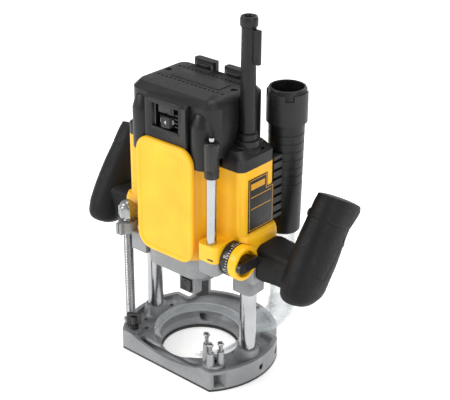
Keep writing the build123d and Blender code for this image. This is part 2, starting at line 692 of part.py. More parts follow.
def lower_casting():
    """Cast bearing plate with the two column blocks, the nose and the rod's block."""
    body = block((-CASTING_HALF_WIDTH, CASTING_HALF_WIDTH), (CASTING_FRONT, CASTING_BACK),
                 (CASTING_BOTTOM, CASTING_TOP), PANEL_CORNER)
    body -= post(STATOR_RADIUS - WALL, CASTING_BOTTOM + WALL, CASTING_TOP)
    for side in (-1, 1):
        inner, outer = sorted((side * (CASTING_HALF_WIDTH - WALL), side * FLARE_OUT))
        half = TOWER_BLOCK_HALF
        body += block((inner, outer), (-half, half), (CASTING_BOTTOM, CASTING_TOP))
        inner, outer = sorted((side * (2 * COLUMN_X - TOWER_BLOCK_OUT), side * TOWER_BLOCK_OUT))
        body += block((inner, outer), (-half, half), (BUSH_BOTTOM, BUSH_TOP), BOSS_CORNER)
    body += cone(NOSE_RADIUS, LOWER_BEARING[3] + WALL + NOSE_TAPER, NOSE_BOTTOM, CASTING_BOTTOM + WALL)
    half = LOCK_BLOCK_HALF
    body += block((-half, half), (LOCK_BLOCK_FRONT, 0), (LOCK_BLOCK_BOTTOM, LOCK_BLOCK_TOP))
    body += rod_boss(BOSS_BOTTOM, BOSS_JOINT)
    body -= column_room(BUSH_BOTTOM, BUSH_TOP)
    bottom, height, _, outer = LOWER_BEARING
    body -= post(outer, bottom, CASTING_TOP)
    body -= post(NUT_ROOM, LOCK_BLOCK_BOTTOM, bottom)
    body -= rod_room()
    half = LOCK_BUTTON_HALF + GAP
    height = LOCK_BUTTON_Z - half, LOCK_BUTTON_Z + half
    return body - block((-half, half), (LOCK_BLOCK_FRONT, -NUT_ROOM), height)


def limit_guide():
    """Split ring on a lug of the casting; it slides along the threaded rod."""
    height = GUIDE_RING_BOTTOM, GUIDE_RING_TOP
    front = LIMIT_Y - GUIDE_RING_RADIUS - LUG_HALF
    ring = tube(GUIDE_RING_RADIUS, LIMIT_RADIUS + THREAD_ROOM, *height, LIMIT_X, LIMIT_Y)
    arm = LIMIT_X + LIMIT_RADIUS + LUG_HALF, -CASTING_HALF_WIDTH
    lug = block(arm, (LIMIT_Y - LUG_HALF, LIMIT_Y + LUG_HALF),
                (CASTING_BOTTOM + LUG_HALF, GUIDE_RING_BOTTOM + LUG_HALF))
    back = LIMIT_Y - LIMIT_RADIUS - LUG_HALF / 2
    ears = block((LIMIT_X - LUG_HALF, LIMIT_X + LUG_HALF), (front, back), height)
    slit = block((LIMIT_X - GUIDE_SLIT, LIMIT_X + GUIDE_SLIT), (front, LIMIT_Y), height)
    return ring + lug + ears - slit


def guide_bushes():
    """Sliding bushes, a lower and an upper one on each column."""
    return Compound(children=[
        tube(BUSH_RADIUS, COLUMN_RADIUS + RUNNING, bottom, bottom + BUSH_LENGTH, x)
        for bottom in (BUSH_BOTTOM, BUSH_TOP - BUSH_LENGTH) for x in (-COLUMN_X, COLUMN_X)
    ])


# ---------------------------------------------------------------- housing and covers
def housing_plan(shrink, bottom, top):
    """The housing's plan, smaller all round by a wall, between two heights."""
    half_width, tower = HOUSING_HALF_WIDTH - shrink, TOWER_OUT - shrink
    centre = block((-half_width, half_width), (HOUSING_FRONT + shrink, HOUSING_BACK - shrink),
                   (bottom, top), PANEL_CORNER - shrink)
    depth = TOWER_HALF_DEPTH - shrink
    return centre + block((-tower, tower), (-depth, depth), (bottom, top), TOWER_CORNER - shrink)


def motor_housing():
    """Yellow shell around the motor and both columns, with a flare at its foot and the rod's block."""
    body = housing_plan(0, CASTING_TOP, HOUSING_TOP)
    flare = block((-FLARE_OUT, FLARE_OUT), (-FLARE_HALF_DEPTH, FLARE_HALF_DEPTH), (CASTING_TOP, FLARE_TOP),
                  TOWER_CORNER)
    rim = flare.faces().sort_by(Axis.Z)[-1].edges()
    body += chamfer(rim, FLARE_OUT - TOWER_OUT, FLARE_HALF_DEPTH - TOWER_HALF_DEPTH)
    body -= housing_plan(WALL, CASTING_TOP, HOUSING_TOP)
    for side in (-1, 1):
        inner, outer = sorted((side * (2 * COLUMN_X - TOWER_BLOCK_OUT), side * TOWER_BLOCK_OUT))
        half = TOWER_BLOCK_HALF
        body -= block((inner, outer), (-half, half), (CASTING_TOP, BUSH_TOP), BOSS_CORNER)
        body -= post(COLUMN_RADIUS + GAP, BUSH_TOP, HOUSING_TOP, side * COLUMN_X)
    body += rod_boss(BOSS_JOINT, BOSS_TOP) - housing_plan(WALL, BOSS_JOINT, BOSS_TOP)
    body -= rod_boss(CASTING_TOP, BOSS_JOINT)
    body -= along_x(SCALE_RING_RADIUS + GAP, BOSS_RIGHT, FLARE_OUT, KNOB_Y, KNOB_Z)
    return body - rod_room()


def front_cover():
    """Flat yellow panel with a bordered, shallow recess."""
    width, height = 2 * PANEL_HALF_WIDTH, PANEL_TOP - PANEL_BOTTOM
    middle = (PANEL_TOP + PANEL_BOTTOM) / 2
    place = Pos(0, PANEL_FRONT, middle) * Rot(-90, 0, 0)
    plate = place * extrude(RectangleRounded(width, height, PANEL_CORNER), HOUSING_FRONT - PANEL_FRONT)
    inset = RectangleRounded(width - 2 * PANEL_BORDER, height - 2 * PANEL_BORDER, PANEL_CORNER - PANEL_BORDER)
    return plate - place * extrude(inset, PANEL_RECESS)


def head_solid(shrink, bottom, top):
    """The top cover's head, smaller all round by a wall, with a chamfered crown."""
    half = HEAD_HALF_WIDTH - shrink
    depth = HEAD_FRONT + shrink, HEAD_BACK - shrink
    body = block((-half, half), depth, (bottom, top), HEAD_CORNER - shrink)
    return chamfer(body.faces().sort_by(Axis.Z)[-1].edges(), HEAD_CHAMFER)


def top_cover():
    """Black cover: shoulders over the columns, the head, the window bay and the rear lugs."""
    body = housing_plan(0, HOUSING_TOP, HOUSING_TOP + SHOULDER_STEP)
    foot = RectangleRounded(2 * TOWER_OUT, 2 * TOWER_HALF_DEPTH, TOWER_CORNER)
    crown = RectangleRounded(2 * SHOULDER_HALF, 2 * SHOULDER_HALF_DEPTH, TOWER_CORNER)
    shoulder = loft([Pos(0, 0, HOUSING_TOP + SHOULDER_STEP) * foot, Pos(0, 0, SHOULDER_TOP) * crown])
    body += shoulder + head_solid(0, HOUSING_TOP + SHOULDER_STEP, HEAD_TOP)
    bay = block((-BAY_HALF_WIDTH, BAY_HALF_WIDTH), (BAY_FRONT, 0), (HOUSING_TOP, BAY_TOP))
    brow = bay.edges().filter_by(Axis.X).sort_by(Axis.Z)[-2:].sort_by(Axis.Y)[0]
    body += chamfer(brow, HEAD_CHAMFER / 2)
    for side in (-1, 1):
        inner, outer = sorted((side * LUG_INNER, side * LUG_OUTER))
        body += block((inner, outer), (LUG_FRONT, LUG_BACK), (SHOULDER_TOP, LUG_TOP), WALL)
    hollow = housing_plan(WALL, HOUSING_TOP, HOUSING_TOP + SHOULDER_STEP)
    hollow += block((-TOWER_OUT + WALL, TOWER_OUT - WALL), (-COLUMN_RADIUS - WALL, COLUMN_RADIUS + WALL),
                    (HOUSING_TOP, SHELL_INSIDE_TOP))
    hollow += head_solid(WALL, HOUSING_TOP, HEAD_TOP - WALL)
    hollow -= block((-BAY_HALF_WIDTH, BAY_HALF_WIDTH), (BAY_FRONT, HEAD_FRONT + WINDOW_BACK),
                    (WINDOW_BOTTOM - WALL, WINDOW_TOP + WALL))
    body -= hollow
    window = (-WINDOW_HALF_WIDTH, WINDOW_HALF_WIDTH), (BAY_FRONT, BAY_FRONT + WINDOW_DEPTH)
    body -= block(*window, (WINDOW_BOTTOM, WINDOW_TOP))
    body -= post(DIAL_RADIUS + GAP, DIAL_BOTTOM - GAP, DIAL_BOTTOM + DIAL_HEIGHT + GAP, 0, DIAL_Y)
    body -= post(DIAL_PIN + RUNNING, DIAL_BOTTOM - WALL, DIAL_BOTTOM + DIAL_HEIGHT + WALL, 0, DIAL_Y)
    for y in (VENT_FRONT_ROW, VENT_BACK_ROW):
        for index in range(VENT_COUNT):
            x = VENT_PITCH * (index - (VENT_COUNT - 1) / 2)
            body -= Pos(x, y, HEAD_TOP - WALL) * extrude(Rectangle(*VENT_SLOT), WALL)
    for side in (-1, 1):
        body -= post(COVER_SCREW_RADIUS, HEAD_TOP - WALL, HEAD_TOP, side * COVER_SCREW_X, COVER_SCREW_Y)
        body -= post(COLUMN_RADIUS + GAP, HOUSING_TOP, COLUMN_ROOF, side * COLUMN_X)
    body -= post(GUARD_RADIUS, SHELL_INSIDE_TOP, GUARD_TOP, GUARD_X, GUARD_Y)
    return body


def cover_screws():
    """Screws that hold the top cover down."""
    return Compound(children=[
        post(COVER_SCREW_RADIUS, HEAD_TOP - WALL, HEAD_TOP - WALL / 2, side * COVER_SCREW_X, COVER_SCREW_Y)
        + post(COVER_SCREW_RADIUS / 2, COVER_SCREW_END, HEAD_TOP - WALL, side * COVER_SCREW_X, COVER_SCREW_Y)
        for side in (-1, 1)
    ])


def rating_plate():
    """Thin plate on the right-hand side, stepped at its upper back corner."""
    outline = Polyline(
        (PLATE_FRONT, PLATE_BOTTOM), (PLATE_BACK, PLATE_BOTTOM), (PLATE_BACK, PLATE_STEP_Z),
        (PLATE_STEP_Y, PLATE_STEP_Z), (PLATE_STEP_Y, PLATE_TOP), (PLATE_FRONT, PLATE_TOP), close=True,
    )
    face = Plane.YZ * make_face(outline)
    return Pos(TOWER_OUT, 0, 0) * extrude(face, PLATE_THICKNESS)


def speed_dial():
    """Thumbwheel behind the window, on its own pin."""
    body = post(DIAL_RADIUS, DIAL_BOTTOM, DIAL_BOTTOM + DIAL_HEIGHT, 0, DIAL_Y)
    return body + post(DIAL_PIN, DIAL_BOTTOM - WALL + GAP, DIAL_BOTTOM + DIAL_HEIGHT + WALL - GAP, 0, DIAL_Y)


def cord_guard():
    """Upright cord guard tube with a collared mouth and a hook tab."""
    body = post(GUARD_RADIUS, SHELL_INSIDE_TOP, GUARD_TOP, GUARD_X, GUARD_Y)
    body += post(GUARD_RADIUS + GUARD_LIP, GUARD_TOP - GUARD_MOUTH, GUARD_TOP, GUARD_X, GUARD_Y)
    body += block((GUARD_X, TAB_REACH), (GUARD_Y - TAB_HALF, GUARD_Y + TAB_HALF), (TAB_BOTTOM, TAB_TOP))
    return body - post(GUARD_BORE, HOUSING_TOP, GUARD_TOP, GUARD_X, GUARD_Y)


def guard_collar():
    """Stepped collar that clamps the cord guard on the right shoulder."""
    body = tube(GUARD_COLLAR_RADIUS, GUARD_RADIUS, SHOULDER_TOP, GUARD_COLLAR_TOP, GUARD_X, GUARD_Y)
    return body - head_solid(0, HOUSING_TOP, HEAD_TOP)


# ---------------------------------------------------------------- motor and spindle
def stator():
    """Laminated field around the armature."""
    bottom, top, _ = ARMATURE
    return tube(STATOR_RADIUS, STATOR_BORE, bottom, top)


def bearing_ring(bearing, inner, outer):
    """One ring of a ball bearing."""
    bottom, height, _, _ = bearing
    return tube(outer, inner, bottom, bottom + height)


def bearings():
    """Outer rings and balls of both bearings, which stay with the carriage."""
    pieces = []
    for bearing in (LOWER_BEARING, UPPER_BEARING):
        pieces += [bearing_ring(bearing, bearing[3] - BEARING_RING, bearing[3]), *bearing_balls(bearing)]
    return Compound(children=pieces)


def bearing_inners():
    """Inner rings of both bearings, which turn with the shaft."""
    return Compound(children=[
        bearing_ring(bearing, bearing[2], bearing[2] + BEARING_RING)
        for bearing in (LOWER_BEARING, UPPER_BEARING)
    ])


def bearing_balls(bearing):
    """Ring of balls of one bearing."""
    bottom, height, inner, outer = bearing
    radius = (outer - inner) / 2 - BEARING_RING - RUNNING
    middle = (inner + outer) / 2
    count = int(pi * middle / (radius * BALL_PITCH))
    ball = Pos(middle, 0, bottom + height / 2) * Sphere(radius)
    return [Rot(0, 0, 360 * index / count) * ball for index in range(count)]


def upper_bearing_bracket():
    """Cup for the upper bearing on a bar that spans the top cover's head."""
    bottom, height, inner, outer = UPPER_BEARING
    top = bottom + height
    bar_half = HEAD_HALF_WIDTH - WALL
    body = post(outer + WALL, bottom, top + WALL)
    body += block((-bar_half, bar_half), (-outer / 2, outer / 2), (top, top + WALL))
    for side in (-1, 1):
        body -= post(COVER_SCREW_RADIUS / 2, bottom, HEAD_TOP, side * COVER_SCREW_X, COVER_SCREW_Y)
    return body - post(outer, bottom, top) - post(inner + BEARING_RING + WALL / 2, top, top + WALL)


def spindle_shaft():
    """Stepped motor shaft; its lower end takes the collet."""
    inner_low, inner_high = LOWER_BEARING[2], UPPER_BEARING[2]
    body = post(inner_low, COLLET_NUT_TOP + GAP, COMMUTATOR[1] + GAP)
    body += post(SHAFT_THREAD_RADIUS, SHAFT_BOTTOM, COLLET_NUT_TOP + GAP)
    body += post(inner_high, COMMUTATOR[1], SHAFT_TOP)
    return body - post(COLLET_BORE, SHAFT_BOTTOM, SHAFT_BOTTOM + PORT_DEPTH / 2)


def armature():
    """Laminated stack and commutator drum on the shaft."""
    return Compound(children=[
        tube(radius, LOWER_BEARING[2], bottom, top) for bottom, top, radius in (ARMATURE, COMMUTATOR)
    ])


def cooling_fan():
    """Radial fan: a disc with straight blades."""
    bottom, top, radius = FAN
    hub = LOWER_BEARING[2]
    body = tube(radius, hub, bottom, bottom + FAN_PLATE) + tube(hub + WALL, hub, bottom, top)
    reach = hub + WALL / 2, radius - GAP
    blade = block(reach, (-FAN_BLADE_HALF, FAN_BLADE_HALF), (bottom + FAN_PLATE, top))
    for index in range(FAN_BLADES):
        body += Rot(0, 0, 360 * index / FAN_BLADES) * blade
    return body


def collet():
    """Collet in the shaft's mouth, bored for the cutter's shank."""
    body = post(COLLET_RADIUS, COLLET_BOTTOM, SHAFT_BOTTOM)
    return body - post(COLLET_BORE, COLLET_BOTTOM, SHAFT_BOTTOM)


def collet_nut():
    """Hexagonal nut that draws the collet in."""
    body = hexagon(COLLET_NUT_FLATS, COLLET_NUT_BOTTOM, COLLET_NUT_TOP)
    body -= post(COLLET_RADIUS + THREAD_ROOM, COLLET_NUT_BOTTOM, SHAFT_BOTTOM)
    return body - post(SHAFT_THREAD_RADIUS + THREAD_ROOM, SHAFT_BOTTOM - GAP, COLLET_NUT_TOP)


def brush_gear():
    """Carbon brushes in brass boxes, one pair on each side of the commutator."""
    half = BRUSH_SIZE / 2
    wall = half + BRUSH_HOLDER_WALL
    pieces = []
    for side in (-1, 1):
        inner, outer = sorted((side * (COMMUTATOR[2] + GAP), side * (BRUSH_REACH - BRUSH_SIZE)))
        pieces.append(block((inner, outer), (-half, half), (BRUSH_Z - half, BRUSH_Z + half)))
        inner, outer = sorted((side * (COMMUTATOR[2] + WALL), side * BRUSH_REACH))
        box = block((inner, outer), (-wall, wall), (BRUSH_Z - wall, BRUSH_Z + wall))
        pieces.append(box - block((inner, outer), (-half, half), (BRUSH_Z - half, BRUSH_Z + half)))
    return Compound(children=pieces)


def control_board():
    """Speed control board behind the dial."""
    return block((-BOARD_HALF_WIDTH, BOARD_HALF_WIDTH), (BOARD_Y, BOARD_Y + BOARD_THICKNESS),
                 (BOARD_BOTTOM, BOARD_TOP))


# ---------------------------------------------------------------- depth rod and its knobs
def depth_rod():
    """Depth rod with a toothed flat that faces the pinion."""
    body = post(ROD_RADIUS, ROD_BOTTOM, ROD_TOP, ROD_X, ROD_Y)
    body += post(TIP_RADIUS, ROD_TOP, ROD_TOP + TOP_KNOB_HEIGHT + TIP_HEIGHT, ROD_X, ROD_Y)
    tip = RACK_LINE + GEAR_MODULE * ADDENDUM
    root = RACK_LINE - GEAR_MODULE * DEDENDUM
    high = KNOB_Z + ROD_DOWN + PITCH_RADIUS
    body -= block((ROD_X - ROD_RADIUS, ROD_X + ROD_RADIUS), (tip, KNOB_Y), (ROD_BOTTOM, high))
    pitch = pi * GEAR_MODULE
    slope = tan(PRESSURE_ANGLE)
    half_tooth = pitch / 4 - TOOTH_THINNING / 2
    space_tip = pitch / 2 - half_tooth + slope * GEAR_MODULE * ADDENDUM
    space_root = pitch / 2 - half_tooth - slope * GEAR_MODULE * DEDENDUM
    outline = Polyline((tip + GAP, -space_tip), (tip + GAP, space_tip), (tip, space_tip), (root, space_root),
                       (root, -space_root), (tip, -space_tip), close=True)
    space = Pos(ROD_X - ROD_RADIUS, 0, 0) * extrude(Plane.YZ * make_face(outline), 2 * ROD_RADIUS)
    first = floor((ROD_BOTTOM - KNOB_Z) / pitch)
    last = floor((high - KNOB_Z) / pitch)
    cutters = [Pos(0, 0, KNOB_Z + pitch * index) * space for index in range(first, last)]
    return body - cutters


def pinion():
    """Outline of the involute pinion, a tooth space at the top."""
    base = PITCH_RADIUS * cos(PRESSURE_ANGLE)
    tip = PITCH_RADIUS + GEAR_MODULE * ADDENDUM
    root = PITCH_RADIUS - GEAR_MODULE * DEDENDUM
    involute = tan(PRESSURE_ANGLE) - PRESSURE_ANGLE
    half_angle = (pi * GEAR_MODULE / 2 - TOOTH_THINNING) / (2 * PITCH_RADIUS) + involute

    def flank(radius):
        """Half the tooth's angle at a radius."""
        roll = sqrt(max(radius**2 / base**2 - 1, 0))
        return half_angle - (roll - atan2(roll, 1))

    radii = [max(base, root) + (tip - max(base, root)) * i / FLANK_STEPS for i in range(FLANK_STEPS + 1)]
    right = [(root - GEAR_MODULE / 4, flank(radii[0]))] + [(r, flank(r)) for r in radii]
    points = right + [(r, -a) for r, a in reversed(right)]
    tooth = make_face(Polyline(*[(r * cos(a), r * sin(a)) for r, a in points], close=True))
    outline = Circle(root)
    for index in range(PINION_TEETH):
        outline += Rot(0, 0, 180 + 360 * index / PINION_TEETH) * tooth
    return outline


def knob_ring():
    """Yellow ring with a web at its inner face."""
    left, right = KNOB_RING_SPAN
    ring = along_x(KNOB_RING_RADIUS, left, right, KNOB_Y, KNOB_Z)
    ring -= along_x(KNOB_RING_INNER, left + KNOB_WEB, right, KNOB_Y, KNOB_Z)
    return ring - along_x(LEVER_SHAFT_RADIUS + RUNNING, left, right, KNOB_Y, KNOB_Z)


def pinion_shaft():
    """Pinion and the hollow shaft that joins it to the ring."""
    left, right = ROD_X - PINION_HALF_WIDTH, ROD_X + PINION_HALF_WIDTH
    teeth = Pos(left, KNOB_Y, KNOB_Z) * Rot(0, 90, 0) * Rot(0, 0, 90) * extrude(pinion(), right - left)
    shaft = along_x(KNOB_SHAFT_RADIUS, right, KNOB_RING_SPAN[0], KNOB_Y, KNOB_Z)
    return teeth + shaft - along_x(LEVER_SHAFT_RADIUS + RUNNING, left, KNOB_RING_SPAN[0], KNOB_Y, KNOB_Z)


def scale_ring():
    """Black scale ring that turns on the shaft by itself, to be set to zero."""
    left, right = SCALE_RING_SPAN
    ring = along_x(SCALE_RING_RADIUS, left, right, KNOB_Y, KNOB_Z)
    return ring - along_x(KNOB_SHAFT_RADIUS + RUNNING, left, right, KNOB_Y, KNOB_Z)


def lock_lever():
    """Black lever bar across the ring, with the clamp's spindle through the hollow shaft."""
    left, right = LEVER_SPAN
    proud = KNOB_RING_SPAN[1] + GAP
    bar = along_x(LEVER_SHAFT_RADIUS, ROD_X, left, KNOB_Y, KNOB_Z)
    for start, end, half in ((left, proud, KNOB_RING_INNER - 2 * GAP), (proud, right, LEVER_HALF_LENGTH)):
        slot = SlotOverall(2 * half, 2 * LEVER_HALF_WIDTH, rotation=90)
        bar += Pos(start, KNOB_Y, KNOB_Z) * Rot(0, 90, 0) * extrude(slot, end - start)
    return bar


def top_knob():
    """Fluted fine-adjust knob on the rod's upper end."""
    body = post(TOP_KNOB_RADIUS, ROD_TOP + GAP, ROD_TOP + TOP_KNOB_HEIGHT, ROD_X, ROD_Y)
    return body - post(TIP_RADIUS + RUNNING, ROD_TOP, ROD_TOP + TOP_KNOB_HEIGHT, ROD_X, ROD_Y)


# ---------------------------------------------------------------- grips
def grip_solid(side, shrink):
    """A grip's outer shape, smaller all round by a wall."""
    rings = [(side * GRIP_X, y, z, width - shrink, depth - shrink) for z, y, depth, width in GRIP_SECTIONS]
    if shrink:
        rings = rings[1:-1]
    return hulled(rings)


def trigger_solid(side, room):
    """The finger piece of a grip, or the room cut for it."""
    half = TRIGGER_HALF_WIDTH + room
    x = side * GRIP_X
    swing = room + TRIGGER_SWING if room else 0
    low, high = TRIGGER_BOTTOM - swing, TRIGGER_PIVOT_Z + TRIGGER_HALF_WIDTH + swing
    back = TRIGGER_PIVOT_Y + TRIGGER_REACH + (TRIGGER_REACH if room else 0)
    front = TRIGGER_PIVOT_Y - TRIGGER_HALF_WIDTH - (TRIGGER_HALF_WIDTH * 2 if room else 0)
    return block((x - half, x + half), (front, back), (low, high))


def grip_half(side, outer):
    """One moulded half of a grip, hollow, split at its middle; the inner half carries the neck."""
    body = grip_solid(side, 0)
    cavity = grip_solid(side, GRIP_WALL)
    middle = side * GRIP_X
    if outer:
        keep = sorted((middle, side * FAR))
    else:
        keep = sorted((middle, side * TOWER_OUT))
        body += neck_bar(side)
    body -= cavity
    body &= block(keep, (-FAR, FAR), (0, FAR))
    body -= trigger_solid(side, GAP)
    for y, z in GRIP_SCREWS:
        left, right = sorted((middle - side * GRIP_WALL * 3, side * FAR))
        body -= along_x(GRIP_SCREW_RADIUS, left, right, y, z)
    return body


def neck_bar(side):
    """Rounded bar that joins a grip to the housing's flare."""
    (cy, ly), (cz, lz) = span(NECK_FRONT, NECK_BACK), span(NECK_BOTTOM, NECK_TOP)
    start = min(side * FLARE_OUT, side * GRIP_X)
    bar = extrude(RectangleRounded(lz, ly, NECK_CORNER), GRIP_X - FLARE_OUT)
    return Pos(start, cy, cz) * Rot(0, 90, 0) * bar


def grip_screws():
    """Screws that join the grips' halves."""
    screws = []
    for side in (-1, 1):
        left, right = sorted((side * (GRIP_X - GRIP_WALL * 2), side * (GRIP_X + GRIP_SCREW_REACH)))
        screws += [along_x(GRIP_SCREW_RADIUS, left, right, y, z) for y, z in GRIP_SCREWS]
    return Compound(children=screws)


def trigger(side):
    """Finger piece that turns on a pin across the grip."""
    body = trigger_solid(side, 0)
    body = fillet(body.edges().filter_by(Axis.X), TRIGGER_HALF_WIDTH / 3)
    x = side * GRIP_X
    half = TRIGGER_HALF_WIDTH
    return body - along_x(TRIGGER_PIN + RUNNING, x - half, x + half, TRIGGER_PIVOT_Y, TRIGGER_PIVOT_Z)


def trigger_pins():
    """Pins that the trigger and the plunge-lock lever turn on."""
    half = TRIGGER_HALF_WIDTH + GRIP_WALL
    return Compound(children=[
        along_x(TRIGGER_PIN, side * GRIP_X - half, side * GRIP_X + half, TRIGGER_PIVOT_Y, TRIGGER_PIVOT_Z)
        for side in (-1, 1)
    ])


def lock_on_bore():
    """Bore of the lock-on button through the inner half of the right grip."""
    return along_x(LOCK_ON_RADIUS + RUNNING, TOWER_OUT, GRIP_X, LOCK_ON_Y, LOCK_ON_Z)


def lock_on_button():
    """Round button that keeps the trigger pressed."""
    return along_x(LOCK_ON_RADIUS, LOCK_ON_FACE, LOCK_ON_FACE + LOCK_ON_LENGTH, LOCK_ON_Y, LOCK_ON_Z)


def switch_box():
    """Power switch inside the right grip."""
    half = SWITCH_HALF
    return block((GRIP_X - half, GRIP_X + half), SWITCH_DEPTH, SWITCH_HEIGHT)


# ---------------------------------------------------------------- spindle lock
def lock_button():
    """Square dished button in the nose block."""
    half, front = LOCK_BUTTON_HALF, LOCK_BLOCK_FRONT - LOCK_BUTTON_PROUD
    back = LOCK_BLOCK_FRONT + LOCK_BUTTON_PROUD
    body = block((-half, half), (front, back), (LOCK_BUTTON_Z - half, LOCK_BUTTON_Z + half))
    dish = Pos(0, front - DISH_SPHERE + LOCK_BUTTON_PROUD / 2, LOCK_BUTTON_Z) * Sphere(DISH_SPHERE)
    return body - dish


# ---------------------------------------------------------------- files
def main():
    """Write every node."""
    os.makedirs("parts", exist_ok=True)
    write("base_casting", base_casting())
    write("sole_plate", sole_plate())
    write("sole_screws", sole_screws())
    for side, word in ((-1, "left"), (1, "right")):
        write(f"{word}_grip_outer", grip_half(side, True))
        inner = grip_half(side, False)
        write(f"{word}_grip_inner", inner - lock_on_bore() if side > 0 else inner)
    write("guide_columns", guide_columns())
    write("plunge_springs", plunge_springs())
    write("column_set_screws", column_set_screws())
    write("limit_rod", limit_rod())
    write("acorn_nut", acorn_nut())
    write("limit_guide", limit_guide())
    write("wing_screw", wing_screw())
    write("wing_spring", wing_spring())
    write("turret", turret())
    write("turret_bolt", turret_bolt())
    for index in range(len(STOP_HEAD_TOPS)):
        write(f"stop_screw_{index + 1}", stop_screw(index))
    write("dust_shroud", dust_shroud())
    write("dust_elbow", dust_elbow())
    write("dust_pipe", dust_pipe())
    write("hose_tube", hose_tube())
    write("bayonet_collar", bayonet_collar())
    write("tube_bracket", tube_bracket())
    write("lower_casting", lower_casting())
    write("guide_bushes", guide_bushes())
    write("motor_housing", motor_housing())
    write("front_cover", front_cover())
    write("top_cover", top_cover())
    write("cover_screws", cover_screws())
    write("rating_plate", rating_plate())
    write("speed_dial", speed_dial())
    write("cord_guard", cord_guard())
    write("guard_collar", guard_collar())
    write("stator", stator())
    write("bearings", bearings())
    write("bearing_inners", bearing_inners())
    write("upper_bearing_bracket", upper_bearing_bracket())
    write("spindle_shaft", spindle_shaft())
    write("armature", armature())
    write("cooling_fan", cooling_fan())
    write("collet", collet())
    write("collet_nut", collet_nut())
    write("brush_gear", brush_gear())
    write("control_board", control_board())
    write("depth_rod", depth_rod())
    write("top_knob", top_knob())
    write("knob_ring", knob_ring())
    write("pinion_shaft", pinion_shaft())
    write("scale_ring", scale_ring())
    write("lock_lever", lock_lever())
    write("trigger", trigger(1))
    write("plunge_lever", trigger(-1))
    write("trigger_pins", trigger_pins())
    write("grip_screws", grip_screws())
    write("lock_on_button", lock_on_button())
    write("switch_box", switch_box())
    write("lock_button", lock_button())


if __name__ == "__main__":
    main()
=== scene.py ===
import json
import logging
import math
from collections.abc import Callable, Iterable, Sequence
from dataclasses import dataclass, field
from enum import Enum
from itertools import pairwise

import bmesh
import bpy
import numpy as np
from mathutils import Matrix, Vector
from mathutils.bvhtree import BVHTree
from mathutils.kdtree import KDTree

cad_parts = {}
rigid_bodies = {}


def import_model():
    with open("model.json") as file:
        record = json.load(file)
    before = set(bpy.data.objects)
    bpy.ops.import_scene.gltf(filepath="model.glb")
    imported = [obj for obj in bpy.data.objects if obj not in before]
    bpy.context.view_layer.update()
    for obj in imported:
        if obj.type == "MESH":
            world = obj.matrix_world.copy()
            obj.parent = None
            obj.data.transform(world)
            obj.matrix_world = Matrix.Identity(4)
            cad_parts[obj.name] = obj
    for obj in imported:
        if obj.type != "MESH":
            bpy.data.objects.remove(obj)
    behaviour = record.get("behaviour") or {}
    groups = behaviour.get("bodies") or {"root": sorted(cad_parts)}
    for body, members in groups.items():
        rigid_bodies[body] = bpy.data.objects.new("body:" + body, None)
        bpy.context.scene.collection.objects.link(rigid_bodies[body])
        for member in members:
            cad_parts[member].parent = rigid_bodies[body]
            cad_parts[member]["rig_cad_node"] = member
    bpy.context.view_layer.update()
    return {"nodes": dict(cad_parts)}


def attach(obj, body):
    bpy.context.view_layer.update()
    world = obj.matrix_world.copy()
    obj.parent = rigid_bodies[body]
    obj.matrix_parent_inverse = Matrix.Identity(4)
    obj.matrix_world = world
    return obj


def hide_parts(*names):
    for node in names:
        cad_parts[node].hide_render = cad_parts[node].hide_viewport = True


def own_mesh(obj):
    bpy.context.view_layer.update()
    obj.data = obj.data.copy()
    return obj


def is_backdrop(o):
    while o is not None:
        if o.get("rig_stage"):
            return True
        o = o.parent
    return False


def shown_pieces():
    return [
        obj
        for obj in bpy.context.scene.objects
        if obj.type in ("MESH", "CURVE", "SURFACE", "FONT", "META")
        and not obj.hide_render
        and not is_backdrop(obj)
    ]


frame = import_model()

LOG = logging.getLogger("router")
MM = 0.001
SMOOTH = math.radians(32)
Array = np.ndarray
Link = tuple[bpy.types.Node, str]


class Body(Enum):
    """The moving bodies that pieces ride on."""

    BASE = "base"
    CARRIAGE = "carriage"
    ACORN = "acorn"
    WING = "wing"
    TURRET = "turret"
    STOP_1 = "stop_1"
    STOP_2 = "stop_2"
    STOP_3 = "stop_3"
    ROD_KNOB = "top_knob"
    KNOB = "height_knob"
    SCALE = "scale_ring"
    LEVER = "lock_lever"
    DIAL = "speed_dial"
    TRIGGER = "trigger"
    PLUNGE_LEVER = "plunge_lever"
    LOCK_ON = "lock_on_button"
    LOCK = "lock_button"


class Grain(Enum):
    """Direction that machining marks run in: across the axis named."""

    NONE = (1.0, 1.0, 1.0)
    TURNED_Z = (0.04, 0.04, 1.0)


# ------------------------------------------------------------------ finishes
def linear(code: str) -> tuple[float, float, float, float]:
    """Turn an sRGB hex colour into linear RGBA.

    Args:
        code: colour such as "#FFD233".

    Returns:
        Linear red, green, blue and alpha.
    """
    parts = (int(code[i:i + 2], 16) / 255 for i in (1, 3, 5))
    return (*(c / 12.92 if c <= 0.04045 else ((c + 0.055) / 1.055) ** 2.4 for c in parts), 1.0)


def add_node(tree: bpy.types.NodeTree, kind: str, settings: dict | None = None,
             inputs: dict | None = None, links: dict[str, Link] | None = None) -> bpy.types.Node:
    """Add a shader node with its settings, socket values and incoming links.

    Args:
        tree: the material's node tree.
        kind: the node's class name without its ShaderNode prefix.
        settings: properties of the node.
        inputs: socket name or index to constant value.
        links: socket name or index to (node, output name).

    Returns:
        The new node.
    """
    node = tree.nodes.new(f"ShaderNode{kind}")
    for key, value in (settings or {}).items():
        setattr(node, key, value)
    for key, value in (inputs or {}).items():
        node.inputs[key].default_value = value
    for key, (source, output) in (links or {}).items():
        tree.links.new(source.outputs[output], node.inputs[key])
    return node


